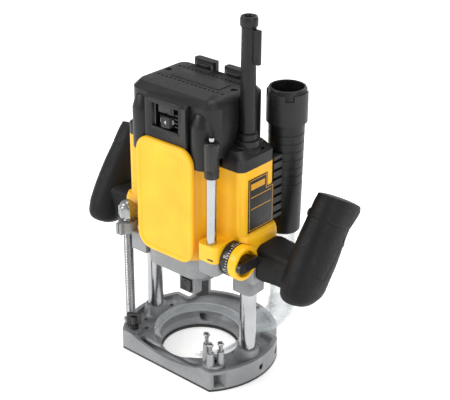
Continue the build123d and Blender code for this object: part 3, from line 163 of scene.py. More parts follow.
@dataclass(frozen=True)
class Finish:
    """A surface finish: two tones mixed by slow noise, a fine grain in the bump and uneven gloss.

    Attributes:
        name: the real material and how its surface was made.
        colour: main sRGB tone.
        second: tone that drifts into the main one.
        worn: tone on exposed edges.
        rough: mean roughness.
        metallic: 0 for plastics and paint, 1 for bare metal.
        grain_mm: size of one grain, cast pit or machining mark.
        depth_mm: depth of the grain.
        grain: direction of the marks.
        speckle: how strongly the fine grain shows in the colour.
        wear: how much of the edges is worn.
        slot: material slot of the record; not used.
        specular: share of the mirror reflection that the surface keeps.
    """

    name: str
    colour: str
    second: str
    worn: str
    rough: float
    metallic: float = 0.0
    grain_mm: float = 0.5
    depth_mm: float = 0.02
    grain: Grain = Grain.NONE
    speckle: float = 0.0
    wear: float = 0.3
    slot: str = "black_plastic"
    clear: bool = False
    drift_mm: float = 30.0
    specular: float = 0.5
    scuff_mm: float = 4.0

    def make(self) -> bpy.types.Material:
        """Build the node material, or return the one already built."""
        if self.name in bpy.data.materials:
            return bpy.data.materials[self.name]
        material = bpy.data.materials.new(self.name)
        material.use_nodes = True
        tree = material.node_tree
        tree.nodes.clear()
        place = add_node(tree, "TexCoord")
        stretch = add_node(tree, "Mapping", inputs={"Scale": self.grain.value}, links={"Vector": (place, "Object")})
        drift = self.noise(tree, (place, "Object"), self.drift_mm, 3.0)
        fine = self.noise(tree, (stretch, "Vector"), self.grain_mm, 2.0)
        scuff = self.noise(tree, (place, "Object"), self.scuff_mm, 6.0)
        tone = self.mix(tree, (drift, "Fac"), (0.35, 0.7), linear(self.colour), linear(self.second))
        if self.speckle:
            speck = add_node(tree, "MapRange", inputs={"From Min": 0.35, "From Max": 0.65, "To Max": self.speckle},
                             links={"Value": (fine, "Fac")})
            tone = self.over(tree, tone, (speck, "Result"), linear(self.second))
        edge = add_node(tree, "NewGeometry")
        exposed = add_node(tree, "MapRange", inputs={"From Min": 0.53, "From Max": 0.62, "To Max": self.wear},
                           links={"Value": (edge, "Pointiness")})
        broken = add_node(tree, "Math", {"operation": "MULTIPLY"}, links={0: (exposed, "Result"), 1: (scuff, "Fac")})
        tone = self.over(tree, tone, (broken, "Value"), linear(self.worn))
        gloss = add_node(tree, "MapRange", inputs={
            "From Min": 0.3, "From Max": 0.7, "To Min": max(self.rough - 0.07, 0.03), "To Max": self.rough + 0.09,
        }, links={"Value": (scuff, "Fac")})
        bump = add_node(tree, "Bump", inputs={"Strength": 0.6, "Distance": self.depth_mm * MM},
                        links={"Height": (fine, "Fac")})
        shader = add_node(
            tree, "BsdfPrincipled",
            inputs={"Metallic": self.metallic, "Specular IOR Level": self.specular},
            links={"Roughness": (gloss, "Result"), "Normal": (bump, "Normal")},
        )
        tree.links.new(tone.outputs[2], shader.inputs["Base Color"])
        if self.clear:
            rim = add_node(tree, "LayerWeight", inputs={"Blend": 0.30})
            alpha = add_node(tree, "MapRange", inputs={"To Min": 0.10, "To Max": 0.75},
                             links={"Value": (rim, "Facing")})
            tree.links.new(alpha.outputs["Result"], shader.inputs["Alpha"])
        out = add_node(tree, "OutputMaterial", links={"Surface": (shader, "BSDF")})
        out.location = (400, 0)
        return material

    @staticmethod
    def noise(tree: bpy.types.NodeTree, vector: Link, size_mm: float, detail: float) -> bpy.types.Node:
        """A noise whose features are size_mm across."""
        return add_node(tree, "TexNoise", inputs={"Scale": 1 / (size_mm * MM), "Detail": detail},
                        links={"Vector": vector})

    @staticmethod
    def mix(tree: bpy.types.NodeTree, factor: Link, band: tuple[float, float], first: tuple,
            second: tuple) -> bpy.types.Node:
        """Mix two constant colours by a factor remapped from a band to 0..1."""
        part = add_node(tree, "MapRange", inputs={"From Min": band[0], "From Max": band[1]}, links={"Value": factor})
        node = add_node(tree, "Mix", {"data_type": "RGBA"}, {6: first, 7: second})
        tree.links.new(part.outputs["Result"], node.inputs[0])
        return node

    @staticmethod
    def over(tree: bpy.types.NodeTree, tone: bpy.types.Node, factor: Link, colour: tuple) -> bpy.types.Node:
        """Lay a constant colour over a mixed tone."""
        node = add_node(tree, "Mix", {"data_type": "RGBA"}, {7: colour})
        tree.links.new(factor[0].outputs[factor[1]], node.inputs[0])
        tree.links.new(tone.outputs[2], node.inputs[6])
        return node


# Glass-filled nylon, moulded with a light gloss: a warm yellow whose parting edges are a little paler.
YELLOW = Finish("yellow_nylon_moulded", "#FFC312", "#FBB60C", "#FFD650", 0.36, grain_mm=0.7, depth_mm=0.015,
                wear=0.35, slot="yellow_shell")
# Glass-filled nylon in black, spark-eroded texture: soft grey highlights, edges rubbed slightly grey.
BLACK = Finish("black_nylon_spark_textured", "#18181A", "#131314", "#3E3E40", 0.40, grain_mm=0.6, depth_mm=0.03,
               wear=0.55, specular=0.35)
# Rubbery overmould of the grips: duller and finer than the shell.
GRIP = Finish("black_elastomer_overmould", "#141415", "#19191A", "#303031", 0.52, grain_mm=0.9,
              depth_mm=0.06, wear=0.4, specular=0.22)
# Gloss black acetal of the small controls.
ACETAL = Finish("black_acetal_turned", "#101010", "#161616", "#404040", 0.30, grain_mm=0.5, depth_mm=0.01, wear=0.5)
# Sand-cast aluminium under silver-grey paint: a pebbled, speckled mid grey.
CAST = Finish("sand_cast_aluminium_painted", "#919395", "#77797B", "#BCBEC0", 0.46, 0.35, 1.1, 0.09, speckle=0.55,
              wear=0.5, slot="cast_alloy", scuff_mm=2.5)
# Hard-chromed and ground steel of the columns and the rod: bright, with very fine turned marks.
CHROME = Finish("ground_chromed_steel", "#B8B9BB", "#A9AAAD", "#D0D0D2", 0.16, 1.0, 0.6, 0.004, Grain.TURNED_Z,
                wear=0.0, slot="ground_steel")
# Zinc-plated steel of screws and the threaded rod: greyer and blotchy.
ZINC = Finish("zinc_plated_steel", "#A9ABAC", "#8E9091", "#D0D0D0", 0.30, 1.0, 0.5, 0.01, wear=0.3, slot="zinc_steel")
# Oil-blacked steel of set screws and springs.
BLACKED = Finish("oil_blacked_steel", "#2B2B2D", "#3A3938", "#77777A", 0.38, 0.8, 0.5, 0.01, slot="zinc_steel")
# Phenolic sheet of the sole, pressed: dark, waxy.
SOLE = Finish("phenolic_sheet_pressed", "#1B1917", "#242120", "#3A3835", 0.48, grain_mm=1.5, slot="sole_phenolic")
# Clear polycarbonate of the dust duct, moulded: nearly invisible face-on, bright at its rims.
CLEAR = Finish("clear_polycarbonate_moulded", "#DDE3E6", "#D2DADD", "#F4F8FA", 0.10, grain_mm=3.0, depth_mm=0.01,
               slot="clear_plastic", clear=True)
# Sintered bronze of the bushes: warm and porous.
BRONZE = Finish("sintered_bronze", "#A67C3C", "#8F6A33", "#C59A55", 0.42, 1.0, 0.4, 0.02, speckle=0.4,
                slot="bush_bronze")
# Stacked electrical steel, varnished: dark with fine layers along the shaft.
LAMINATE = Finish("varnished_laminations", "#4B4744", "#2F2B29", "#716B66", 0.45, 0.7, 0.7, 0.05,
                  Grain.TURNED_Z, speckle=0.6, slot="laminations")
# Polyester label film: flat satin black with printed yellow rules.
FILM = Finish("satin_label_film", "#141414", "#1A1A1A", "#2A2A2A", 0.36, grain_mm=0.8, depth_mm=0.003,
              slot="label_film")
PRINT = Finish("printed_yellow_ink", "#E9A81C", "#DD9D18", "#F2BC46", 0.40, grain_mm=0.8, depth_mm=0.002,
               slot="label_film")
WHITE = Finish("white_pad_print", "#E9E9E6", "#DFDFDC", "#FFFFFF", 0.45, grain_mm=0.8, depth_mm=0.002)
FAN_GREY = Finish("grey_nylon_moulded", "#5A5A5C", "#4F4F52", "#838385", 0.45, slot="grey_plastic")
DIECAST = Finish("bare_die_cast_aluminium", "#A5A6A8", "#96979A", "#C4C5C7", 0.40, 0.8, 0.9, 0.03,
                 slot="bracket_alloy")


# ------------------------------------------------------------------ surfaces
def weld(points: Array, faces: Sequence[Sequence[int]]) -> tuple[Array, list[list[int]]]:
    """Merge points that coincide and drop corners and faces that vanish.

    Args:
        points: (n, 3) positions in millimetres.
        faces: corner numbers of each face.

    Returns:
        The merged points and the faces over them.
    """
    keys, first, back = np.unique(np.round(points, 4), axis=0, return_index=True, return_inverse=True)
    del keys
    back = back.reshape(-1)
    merged = []
    for face in faces:
        corners = [int(back[i]) for i in face]
        corners = [c for i, c in enumerate(corners) if c != corners[i - 1]]
        if len(set(corners)) > 2:
            merged.append(corners)
    return points[first], merged


def grid_faces(rows: int, columns: int, close_rows: bool, close_columns: bool) -> list[list[int]]:
    """Quads over a grid of rows and columns, joined end to end where asked."""
    r = np.arange(rows if close_rows else rows - 1)
    c = np.arange(columns if close_columns else columns - 1)
    r, c = (a.ravel() for a in np.meshgrid(r, c, indexing="ij"))
    rn, cn = (r + 1) % rows, (c + 1) % columns
    return np.stack([r * columns + c, r * columns + cn, rn * columns + cn, rn * columns + c], axis=1).tolist()


def loft(loops: Array, close: bool = False, caps: bool = True) -> tuple[Array, list[list[int]]]:
    """Skin over closed loops, capped at both ends or joined end to end.

    Args:
        loops: (rows, columns, 3) points; each row is a closed loop, anticlockwise seen from the last row.
        close: join the last row to the first.
        caps: close both ends with a face.

    Returns:
        Points and faces.
    """
    rows, columns = loops.shape[:2]
    faces = grid_faces(rows, columns, close, True)
    if caps and not close:
        faces.append(list(range(columns))[::-1])
        faces.append(list(range((rows - 1) * columns, rows * columns)))
    return weld(loops.reshape(-1, 3), faces)


def revolve(profile: Sequence[tuple[float, float]], turns: int = 72,
            close: bool = False) -> tuple[Array, list[list[int]]]:
    """Surface of revolution about Z: each (radius, height) is carried round a circle."""
    rz = np.array(profile, float)
    angle = np.linspace(0, 2 * np.pi, turns, endpoint=False)
    loops = np.stack([rz[:, :1] * np.cos(angle), rz[:, :1] * np.sin(angle), np.repeat(rz[:, 1:], turns, 1)], axis=2)
    return loft(loops, close)


def rounded(width: float, height: float, corner: float, steps: int = 8) -> Array:
    """Rounded rectangle as a loop: four quarter circles about the corners' centres, anticlockwise."""
    corner = min(max(corner, 0.01), width / 2 - 0.01, height / 2 - 0.01)
    quarter = np.linspace(0, np.pi / 2, steps)
    angle = (quarter[None] + np.arange(4)[:, None] * np.pi / 2).ravel()
    centre_x = np.repeat([1, -1, -1, 1], steps) * (width / 2 - corner)
    centre_y = np.repeat([1, 1, -1, -1], steps) * (height / 2 - corner)
    return np.stack([centre_x + corner * np.cos(angle), centre_y + corner * np.sin(angle)], axis=1)


def slab(width: float, height: float, corner: float, depth: float, edge: float, steps: int = 8) -> Array:
    """Rounded plate: rounded rectangles inset along a quarter circle at both faces, from z 0 to depth."""
    turn = np.linspace(0, np.pi / 2, 5)
    inset = np.concatenate([edge * (1 - np.sin(turn)), edge * (1 - np.sin(turn))[::-1]])
    level = np.concatenate([edge * (1 - np.cos(turn)), depth - (edge * (1 - np.cos(turn)))[::-1]])
    return np.stack([
        np.column_stack([rounded(width - 2 * i, height - 2 * i, corner - i, steps), np.full(4 * steps, z)])
        for i, z in zip(inset, level)
    ])


def moved(points: Array, at: tuple[float, float, float] = (0, 0, 0), turn: Matrix | None = None) -> Array:
    """Turn points about the origin and then shift them."""
    turned = points @ np.array(turn.to_3x3()).T if turn is not None else points
    return turned + np.array(at, float)


def turned(degrees: float, axis: str) -> Matrix:
    """A rotation about a main axis."""
    return Matrix.Rotation(math.radians(degrees), 4, axis)


FACE_X = Matrix(((0, 0, 1), (1, 0, 0), (0, 1, 0)))      # local Z to +X, local X to +Y
FACE_FRONT = Matrix(((1, 0, 0), (0, 0, -1), (0, 1, 0)))  # local Z to -Y, local X to +X


@dataclass
class Shape:
    """Points and faces that gather the solids of one piece."""

    points: list[Array] = field(default_factory=list)
    faces: list[list[int]] = field(default_factory=list)
    count: int = 0

    def add(self, solid: tuple[Array, list[list[int]]], at: tuple[float, float, float] = (0, 0, 0),
            turn: Matrix | None = None) -> "Shape":
        """Add a solid, turned and shifted, and return this shape."""
        points, faces = solid
        self.points.append(moved(np.asarray(points, float), at, turn))
        self.faces += [[i + self.count for i in face] for face in faces]
        self.count += len(points)
        return self

    def piece(self, name: str, body: Body, finish: Finish, stands_for: Iterable[str] = (),
              smooth: float = SMOOTH) -> bpy.types.Object:
        """Make the mesh object, dress it and put it on its body.

        Args:
            name: the piece's name.
            body: the body that it rides on.
            finish: its finish.
            stands_for: CAD nodes that it replaces.
            smooth: edges sharper than this angle stay sharp.

        Returns:
            The object.
        """
        mesh = bpy.data.meshes.new(name)
        mesh.from_pydata((np.vstack(self.points) * MM).tolist(), [], self.faces)
        mesh.validate()
        return dress(mesh, name, body, finish, stands_for, smooth)


def dress(mesh: bpy.types.Mesh, name: str, body: Body, finish: Finish, stands_for: Iterable[str],
          smooth: float = SMOOTH) -> bpy.types.Object:
    """Give a mesh outward normals, smooth shading, its finish and its body."""
    shell = bmesh.new()
    shell.from_mesh(mesh)
    bmesh.ops.recalc_face_normals(shell, faces=shell.faces)
    shell.to_mesh(mesh)
    shell.free()
    mesh.shade_smooth()
    mesh.set_sharp_from_angle(angle=smooth)
    mesh.materials.append(finish.make())
    obj = bpy.data.objects.new(name, mesh)
    bpy.context.scene.collection.objects.link(obj)
    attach(obj, body.value)
    if stands_for:
        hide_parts(*stands_for)
    LOG.info("%s: %d faces", name, len(mesh.polygons))
    return obj


def softened(node: str, body: Body, finish: Finish, width: float, angle: float = 38.0,
             spare: Callable[[Array], Array] | None = None) -> bpy.types.Object:
    """Stand a copy of a CAD node in its place, with its sharp edges rounded.

    The copy's coincident points are merged and its flat facets joined; then every edge sharper than the
    angle gets a round of the given width.

    Args:
        node: the CAD node.
        body: its body.
        finish: its finish.
        width: the round's width in millimetres.
        angle: edges flatter than this, in degrees, are left.
        spare: takes the middles of all edges in millimetres, and says which ones stay sharp.

    Returns:
        The object.
    """
    mesh = frame["nodes"][node].data.copy()
    mesh.materials.clear()
    shell = bmesh.new()
    shell.from_mesh(mesh)
    bmesh.ops.remove_doubles(shell, verts=shell.verts, dist=2e-6)
    bmesh.ops.dissolve_limit(shell, angle_limit=math.radians(0.6), verts=shell.verts, edges=shell.edges)
    shell.to_mesh(mesh)
    shell.free()
    if width:
        mesh = round_edges(mesh, width * MM, mark_rounds(mesh, math.radians(angle), spare))
    return dress(mesh, f"{node}_piece", body, finish, (node,), math.radians(angle))


def bevelled(mesh: bpy.types.Mesh, width: float) -> bpy.types.Mesh:
    """The mesh with its weighted edges rounded to the width, as a new mesh."""
    obj = bpy.data.objects.new("rounding", mesh)
    bpy.context.scene.collection.objects.link(obj)
    bevel = obj.modifiers.new("edge_round", "BEVEL")
    bevel.width, bevel.segments, bevel.limit_method = width, 3, "WEIGHT"
    bevel.use_clamp_overlap = False
    result = bpy.data.meshes.new_from_object(obj.evaluated_get(bpy.context.evaluated_depsgraph_get()))
    bpy.data.objects.remove(obj)
    return result


def faults(result: bpy.types.Mesh, tree: BVHTree, width: float) -> list[Vector]:
    """Places where a round failed.

    A round of width w leaves its own surface by at most 0.42 w, at a corner of three edges, and turns by at
    most half the edge's angle. A point that strays further, a face that turns away from the surface under
    it, and a face whose triangles don't fill its outline are faults.
    """
    points = [v.co for v in result.vertices]
    stray = [tree.find_nearest(p)[3] > STRAY_SHARE * width for p in points]
    places = []
    for a, b in (edge.vertices for edge in result.edges):
        if stray[a] != stray[b]:
            places.append(points[b] if stray[a] else points[a])
    result.calc_loop_triangles()
    filled = np.zeros(len(result.polygons))
    for triangle in result.loop_triangles:
        filled[triangle.polygon_index] += triangle.area
    for face, area in zip(result.polygons, filled):
        if face.area > FAULT_AREA * MM**2:
            normal = tree.find_nearest(face.center)[1]
            if abs(area - face.area) > 0.01 * face.area or face.normal.dot(normal) < 0.2:
                places += [points[k] for k in face.vertices]
    return places


def round_edges(mesh: bpy.types.Mesh, width: float, weight: Array) -> bpy.types.Mesh:
    """Round the weighted edges; where a round fails, the edges near it stay sharp and all is rounded again.

    Args:
        mesh: the mesh.
        width: the round's width in metres.
        weight: 1 for each edge to round.

    Returns:
        The rounded mesh, or the mesh as it came if its rounds keep failing.
    """
    tree = BVHTree.FromPolygons([v.co for v in mesh.vertices], [list(p.vertices) for p in mesh.polygons])
    mesh.attributes.new("bevel_weight_edge", "FLOAT", "EDGE")
    for _ in range(ROUND_PASSES):
        layer = mesh.attributes["bevel_weight_edge"]
        layer.data.foreach_set("value", weight.astype(np.float32))
        result = bevelled(mesh, width)
        places = faults(result, tree, width)
        if not places:
            return result
        near = KDTree(len(places))
        for index, place in enumerate(places):
            near.insert(place, index)
        near.balance()
        close = np.array([near.find(v.co)[2] < FAULT_REACH * width for v in mesh.vertices])
        ends = np.array([list(edge.vertices) for edge in mesh.edges])
        weight = weight & ~close[ends].any(1)
    return mesh


# Where a bar slides past (x, y, reach), edges stay as cut: a round in a corner would take its clearance.
SLIDES = ((-67.0, 0.0, 12.5), (67.0, 0.0, 12.5), (58.0, -47.0, 12.0))
SLIDES_ABOVE = 60.0
# How far a rounded point may leave its surface, in widths; smallest face that is tested, in square
# millimetres; how far round a fault the edges stay sharp, in widths; how often a mesh is tried.
STRAY_SHARE = 0.45
FAULT_AREA = 0.2
FAULT_REACH = 2.0
ROUND_PASSES = 7


def mark_rounds(mesh: bpy.types.Mesh, angle: float, spare: Callable[[Array], Array] | None) -> Array:
    """Which edges get a round: those sharper than the angle, but for the spared ones."""
    shell = bmesh.new()
    shell.from_mesh(mesh)
    sharp = np.array([edge.is_manifold and edge.calc_face_angle(0) > angle for edge in shell.edges])
    middles = np.array([(edge.verts[0].co + edge.verts[1].co) / 2 for edge in shell.edges]) / MM
    shell.free()
    left = spare(middles) if spare else np.zeros(len(sharp), bool)
    for x, y, reach in SLIDES:
        left |= (np.hypot(middles[:, 0] - x, middles[:, 1] - y) < reach) & (middles[:, 2] > SLIDES_ABOVE)
    return sharp & ~left


def keep(node: str, finish: Finish) -> None:
    """Show a CAD node as it is, with its finish."""
    obj = frame["nodes"][node]
    obj.data.materials.clear()
    obj.data.materials.append(finish.make())


def numeral(text: str, size: float, thickness: float) -> tuple[Array, list[list[int]]]:
    """A numeral as a thin solid in the XY plane, centred, in millimetres."""
    curve = bpy.data.curves.new("numeral", "FONT")
    curve.body, curve.size, curve.extrude = text, size, thickness / 2
    curve.align_x, curve.align_y, curve.resolution_u = "CENTER", "CENTER", 3
    obj = bpy.data.objects.new("numeral", curve)
    bpy.context.scene.collection.objects.link(obj)
    mesh = bpy.data.meshes.new_from_object(obj)
    points = np.zeros(len(mesh.vertices) * 3)
    mesh.vertices.foreach_get("co", points)
    faces = [list(p.vertices) for p in mesh.polygons]
    bpy.data.objects.remove(obj)
    bpy.data.meshes.remove(mesh)
    return weld(points.reshape(-1, 3), faces)


def wrapped(points: Array, radius: float, angle: float) -> Array:
    """Bend a flat figure round the Z axis: its x becomes an arc at the radius, its y the height, its z goes out."""
    turn = angle + points[:, 0] / radius
    out = radius + points[:, 2]
    return np.column_stack([out * np.cos(turn), out * np.sin(turn), points[:, 1]])


def slotted_head(radius: float, height: float, dome: float, slot: float) -> tuple[Array, list[list[int]]]:
    """Screw head from z 0 to height: a flat-sided disc whose top is a dome with a straight slot pressed in.

    Height over (r, t): height - dome * r^2 - slot depth where the distance to the slot's line is small.
    """
    turns, rings = 96, 22
    share = np.linspace(1, 0, rings)
    angle = np.linspace(0, 2 * np.pi, turns, endpoint=False)
    s, t = np.meshgrid(share, angle, indexing="ij")
    x, y = radius * s * np.cos(t), radius * s * np.sin(t)
    groove = np.clip((0.17 * radius - np.abs(x)) / (0.05 * radius), 0, 1)
    z = height - dome * s**2 - slot * groove
    side = np.stack([np.stack([radius * np.cos(angle), radius * np.sin(angle), np.full(turns, level)], 1)
                     for level in (0.0, height - dome - slot - 0.05)])
    return loft(np.concatenate([side, np.stack([x, y, z], 2)]))


def thread(radius: float, low: float, high: float, pitch: float, depth: float, sides: int = 40) -> Array:
    """Loops of a threaded rod: r = radius - depth * (a triangle wave of height / pitch - turn / full turn)."""
    level = np.linspace(low, high, int((high - low) / pitch * 8))
    angle = np.linspace(0, 2 * np.pi, sides, endpoint=False)
    z, t = np.meshgrid(level, angle, indexing="ij")
    phase = (z / pitch - t / (2 * np.pi)) % 1
    ends = np.clip(np.minimum(z - low, high - z) / pitch, 0, 1)
    r = radius - depth * np.abs(2 * phase - 1) * ends - 0.3 * (1 - ends)
    return np.stack([r * np.cos(t), r * np.sin(t), z], 2)


def polar_loops(levels: Sequence[tuple[float, float]], shape: Callable[[Array], Array], turns: int = 96) -> Array:
    """Loops whose radius is scale * shape(angle) at each (scale, height)."""
    angle = np.linspace(0, 2 * np.pi, turns, endpoint=False)
    figure = shape(angle)
    return np.stack([np.stack([s * figure * np.cos(angle), s * figure * np.sin(angle), np.full(turns, z)], 1)
                     for s, z in levels])


def hexagonal(flats: float) -> Callable[[Array], Array]:
    """Radius of a hexagon of a width across flats, as a function of angle."""
    sixth = np.pi / 3
    return lambda angle: flats / 2 / np.cos((angle + sixth / 2) % sixth - sixth / 2)


def bar_box(x: tuple[float, float], y: tuple[float, float], z: tuple[float, float], edge: float,
            corner: float = 1.0) -> tuple[Array, list[list[int]]]:
    """Upright box between limits, with rounded upright corners and rounded top and bottom edges."""
    points, faces = loft(slab(x[1] - x[0], y[1] - y[0], corner, z[1] - z[0], edge))
    return moved(points, (sum(x) / 2, sum(y) / 2, z[0])), faces


# ------------------------------------------------------------------ sub-assemblies
@dataclass
class Base:
    """Cast base with its sole, columns, collars and clamp screw."""

    column_x: float = 67.0
    column_radius: float = 8.7
    column_foot: float = 5.0
    column_top: float = 188.0
    column_bore: float = 6.8
    spring_foot: float = 12.0
    plunge_travel: float = 62.4
    seat_top: float = 30.5
    seat_radius: float = 11.2
    deck: float = 19.5
    deck_holes: tuple = ((-50.0, -33.0), (-62.5, -20.5), (62.5, 20.5), (-62.5, 20.5))

    def build(self) -> None:
        """Build every piece of the base."""
        softened("base_casting", Body.BASE, CAST, 0.9)
        softened("sole_plate", Body.BASE, SOLE, 0.0)
        keep("sole_screws", ZINC)
        keep("column_set_screws", BLACKED)
        keep("wing_spring", BLACKED)
        softened("turret_bolt", Body.BASE, BLACKED, 0.2)
        self.springs()
        self.columns()
        self.seats()
        softened("wing_screw", Body.WING, ACETAL, 0.5)

    def springs(self) -> None:
        """Plunge springs: a copy of the CAD node that keeps a mesh of its own."""
        piece = softened("plunge_springs", Body.BASE, BLACKED, 0.0)
        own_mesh(piece)

    def columns(self) -> None:
        """Two hollow bars: the outline (radius, height) goes up the outside and down the bore, round a circle."""
        r, b, top, edge = self.column_radius, self.column_bore, self.column_top, 0.6
        profile = [(0, self.column_foot), (r - edge, self.column_foot), (r, self.column_foot + edge), (r, top - edge),
                   (r - edge, top), (b, top), (b, self.spring_foot), (0, self.spring_foot)]
        shape = Shape()
        for x in (-self.column_x, self.column_x):
            shape.add(revolve(profile, 96), (x, 0, 0))
        shape.piece("guide_columns_piece", Body.BASE, CHROME, ("guide_columns",))

    def seats(self) -> None:
        """Turned collars at the columns' feet, and raised rims round the deck's holes."""
        inner, outer, low, high = self.column_radius + 0.15, self.seat_radius, self.seat_top - 6, self.seat_top + 0.4
        profile = [(inner, low), (outer + 0.9, low), (outer + 0.2, high - 1.6), (outer - 0.5, high - 0.4),
                   (outer - 1.2, high), (inner, high)]
        shape = Shape()
        for x in (-self.column_x, self.column_x):
            shape.add(revolve(profile, 96, close=True), (x, 0, 0))
        for x, y in self.deck_holes:
            rim = [(2.75, self.deck - 0.5), (4.2, self.deck - 0.5), (4.0, self.deck + 0.5), (3.4, self.deck + 0.7),
                   (2.75, self.deck + 0.5)]
            shape.add(revolve(rim, 40, close=True), (x, y, 0))
        shape.piece("deck_collars", Body.BASE, CAST)


@dataclass
class LimitRod:
    """Threaded rod that limits the carriage's rise, with its foot, domed nut and guide."""

    x: float = -68.0
    y: float = -38.5
    radius: float = 5.2
    low: float = 16.2
    high: float = 170.0
    pitch: float = 2.0
    flats: float = 17.0
    nut_bottom: float = 154.0
    nut_height: float = 13.0
    dome: float = 6.0
    foot_flats: float = 14.0
    foot: tuple[float, float] = (23.6, 28.6)

    def build(self) -> None:
        """Build the rod, its foot, the nut and the guide."""
        shape = Shape().add(loft(thread(self.radius, self.low, self.high, self.pitch, 0.7)), (self.x, self.y, 0))
        low, high = self.foot
        foot = polar_loops(((0.94, low), (1, low + 0.5), (1, high - 0.6), (0.93, high)), hexagonal(self.foot_flats))
        shape.add(loft(foot), (self.x, self.y, 0))
        shape.piece("limit_rod_piece", Body.BASE, ZINC, ("limit_rod",))
        self.nut()
        softened("limit_guide", Body.CARRIAGE, CAST, 0.6)

    def nut(self) -> None:
        """Domed nut: hexagon loops blend into circles, r = (1 - b) * hexagon + b * circle, up to the dome's pole."""
        angle = np.linspace(0, 2 * np.pi, 96, endpoint=False)
        hexagon = hexagonal(self.flats)(angle)
        circle = np.full_like(angle, self.flats / 2)
        bore, low = self.radius + 0.1, self.nut_bottom
        shoulder = low + self.nut_height
        rows = [(bore, 1, low), (0.90, -1, low), (1.0, 0, low + 1.2), (1.0, 0, shoulder - 1.8),
                (0.985, 0.5, shoulder - 0.7),
                (0.955, 1, shoulder)]
        rise = np.linspace(0.12, np.pi / 2, 12)
        rows += [(0.90 * math.cos(a), 1, shoulder + self.dome * math.sin(a)) for a in rise]
        loops = []
        for scale, blend, z in rows:
            figure = np.full_like(angle, scale) if scale > 2 else scale * (
                circle * max(blend, 0) + hexagon * (1 - max(blend, 0))) if blend >= 0 else scale * circle * 1.06
            loops.append(np.stack([figure * np.cos(angle), figure * np.sin(angle), np.full_like(angle, z)], 1))
        inner = [np.stack([bore * np.cos(angle), bore * np.sin(angle), np.full_like(angle, z)], 1)
                 for z in (self.high + 0.3, low + 0.01)]
        Shape().add(loft(np.stack(inner + loops)), (self.x, self.y, 0)).piece(
            "acorn_nut_piece", Body.ACORN, ZINC, ("acorn_nut",))


@dataclass
class Turret:
    """Stepped depth stop with three slotted screws."""

    x: float = 55.5
    y: float = -41.0
    orbit: float = 8.0
    first: float = 196.0
    tops: tuple[float, ...] = (60.0, 54.0, 53.0)
    head_radius: float = 3.4
    head_height: float = 4.0
    shank_radius: float = 2.0
    shank_foot: float = 32.6

    def build(self) -> None:
        """Build the turret and its screws."""
        softened("turret", Body.TURRET, DIECAST, 0.45)
        for index, top in enumerate(self.tops):
            angle = math.radians(self.first + 90 * index)
            at = (self.x + self.orbit * math.cos(angle), self.y + self.orbit * math.sin(angle), 0)
            neck = top - self.head_height
            r, s = self.head_radius, self.shank_radius
            body = Body[f"STOP_{index + 1}"]
            shank = Shape().add(loft(thread(s, self.shank_foot, neck - 1.2, 0.8, 0.25, 28)), at)
            collar = [(0, neck - 1.6), (s, neck - 1.6), (s + 0.2, neck - 0.6), (r * 0.82, neck), (r, neck + 0.9),
                      (r, neck + 1.6), (r - 0.35, neck + 2.0), (0, neck + 2.0)]
            shank.add(revolve(collar, 56), at)
            shank.piece(f"stop_screw_{index + 1}_piece", body, ZINC, (f"stop_screw_{index + 1}",))
            head = slotted_head(r - 0.15, top - neck - 1.7, 0.7, 0.8)
            Shape().add(head, (at[0], at[1], neck + 1.7), turned(40 + 50 * index, "Z")).piece(
                f"stop_head_{index + 1}", body, CHROME)


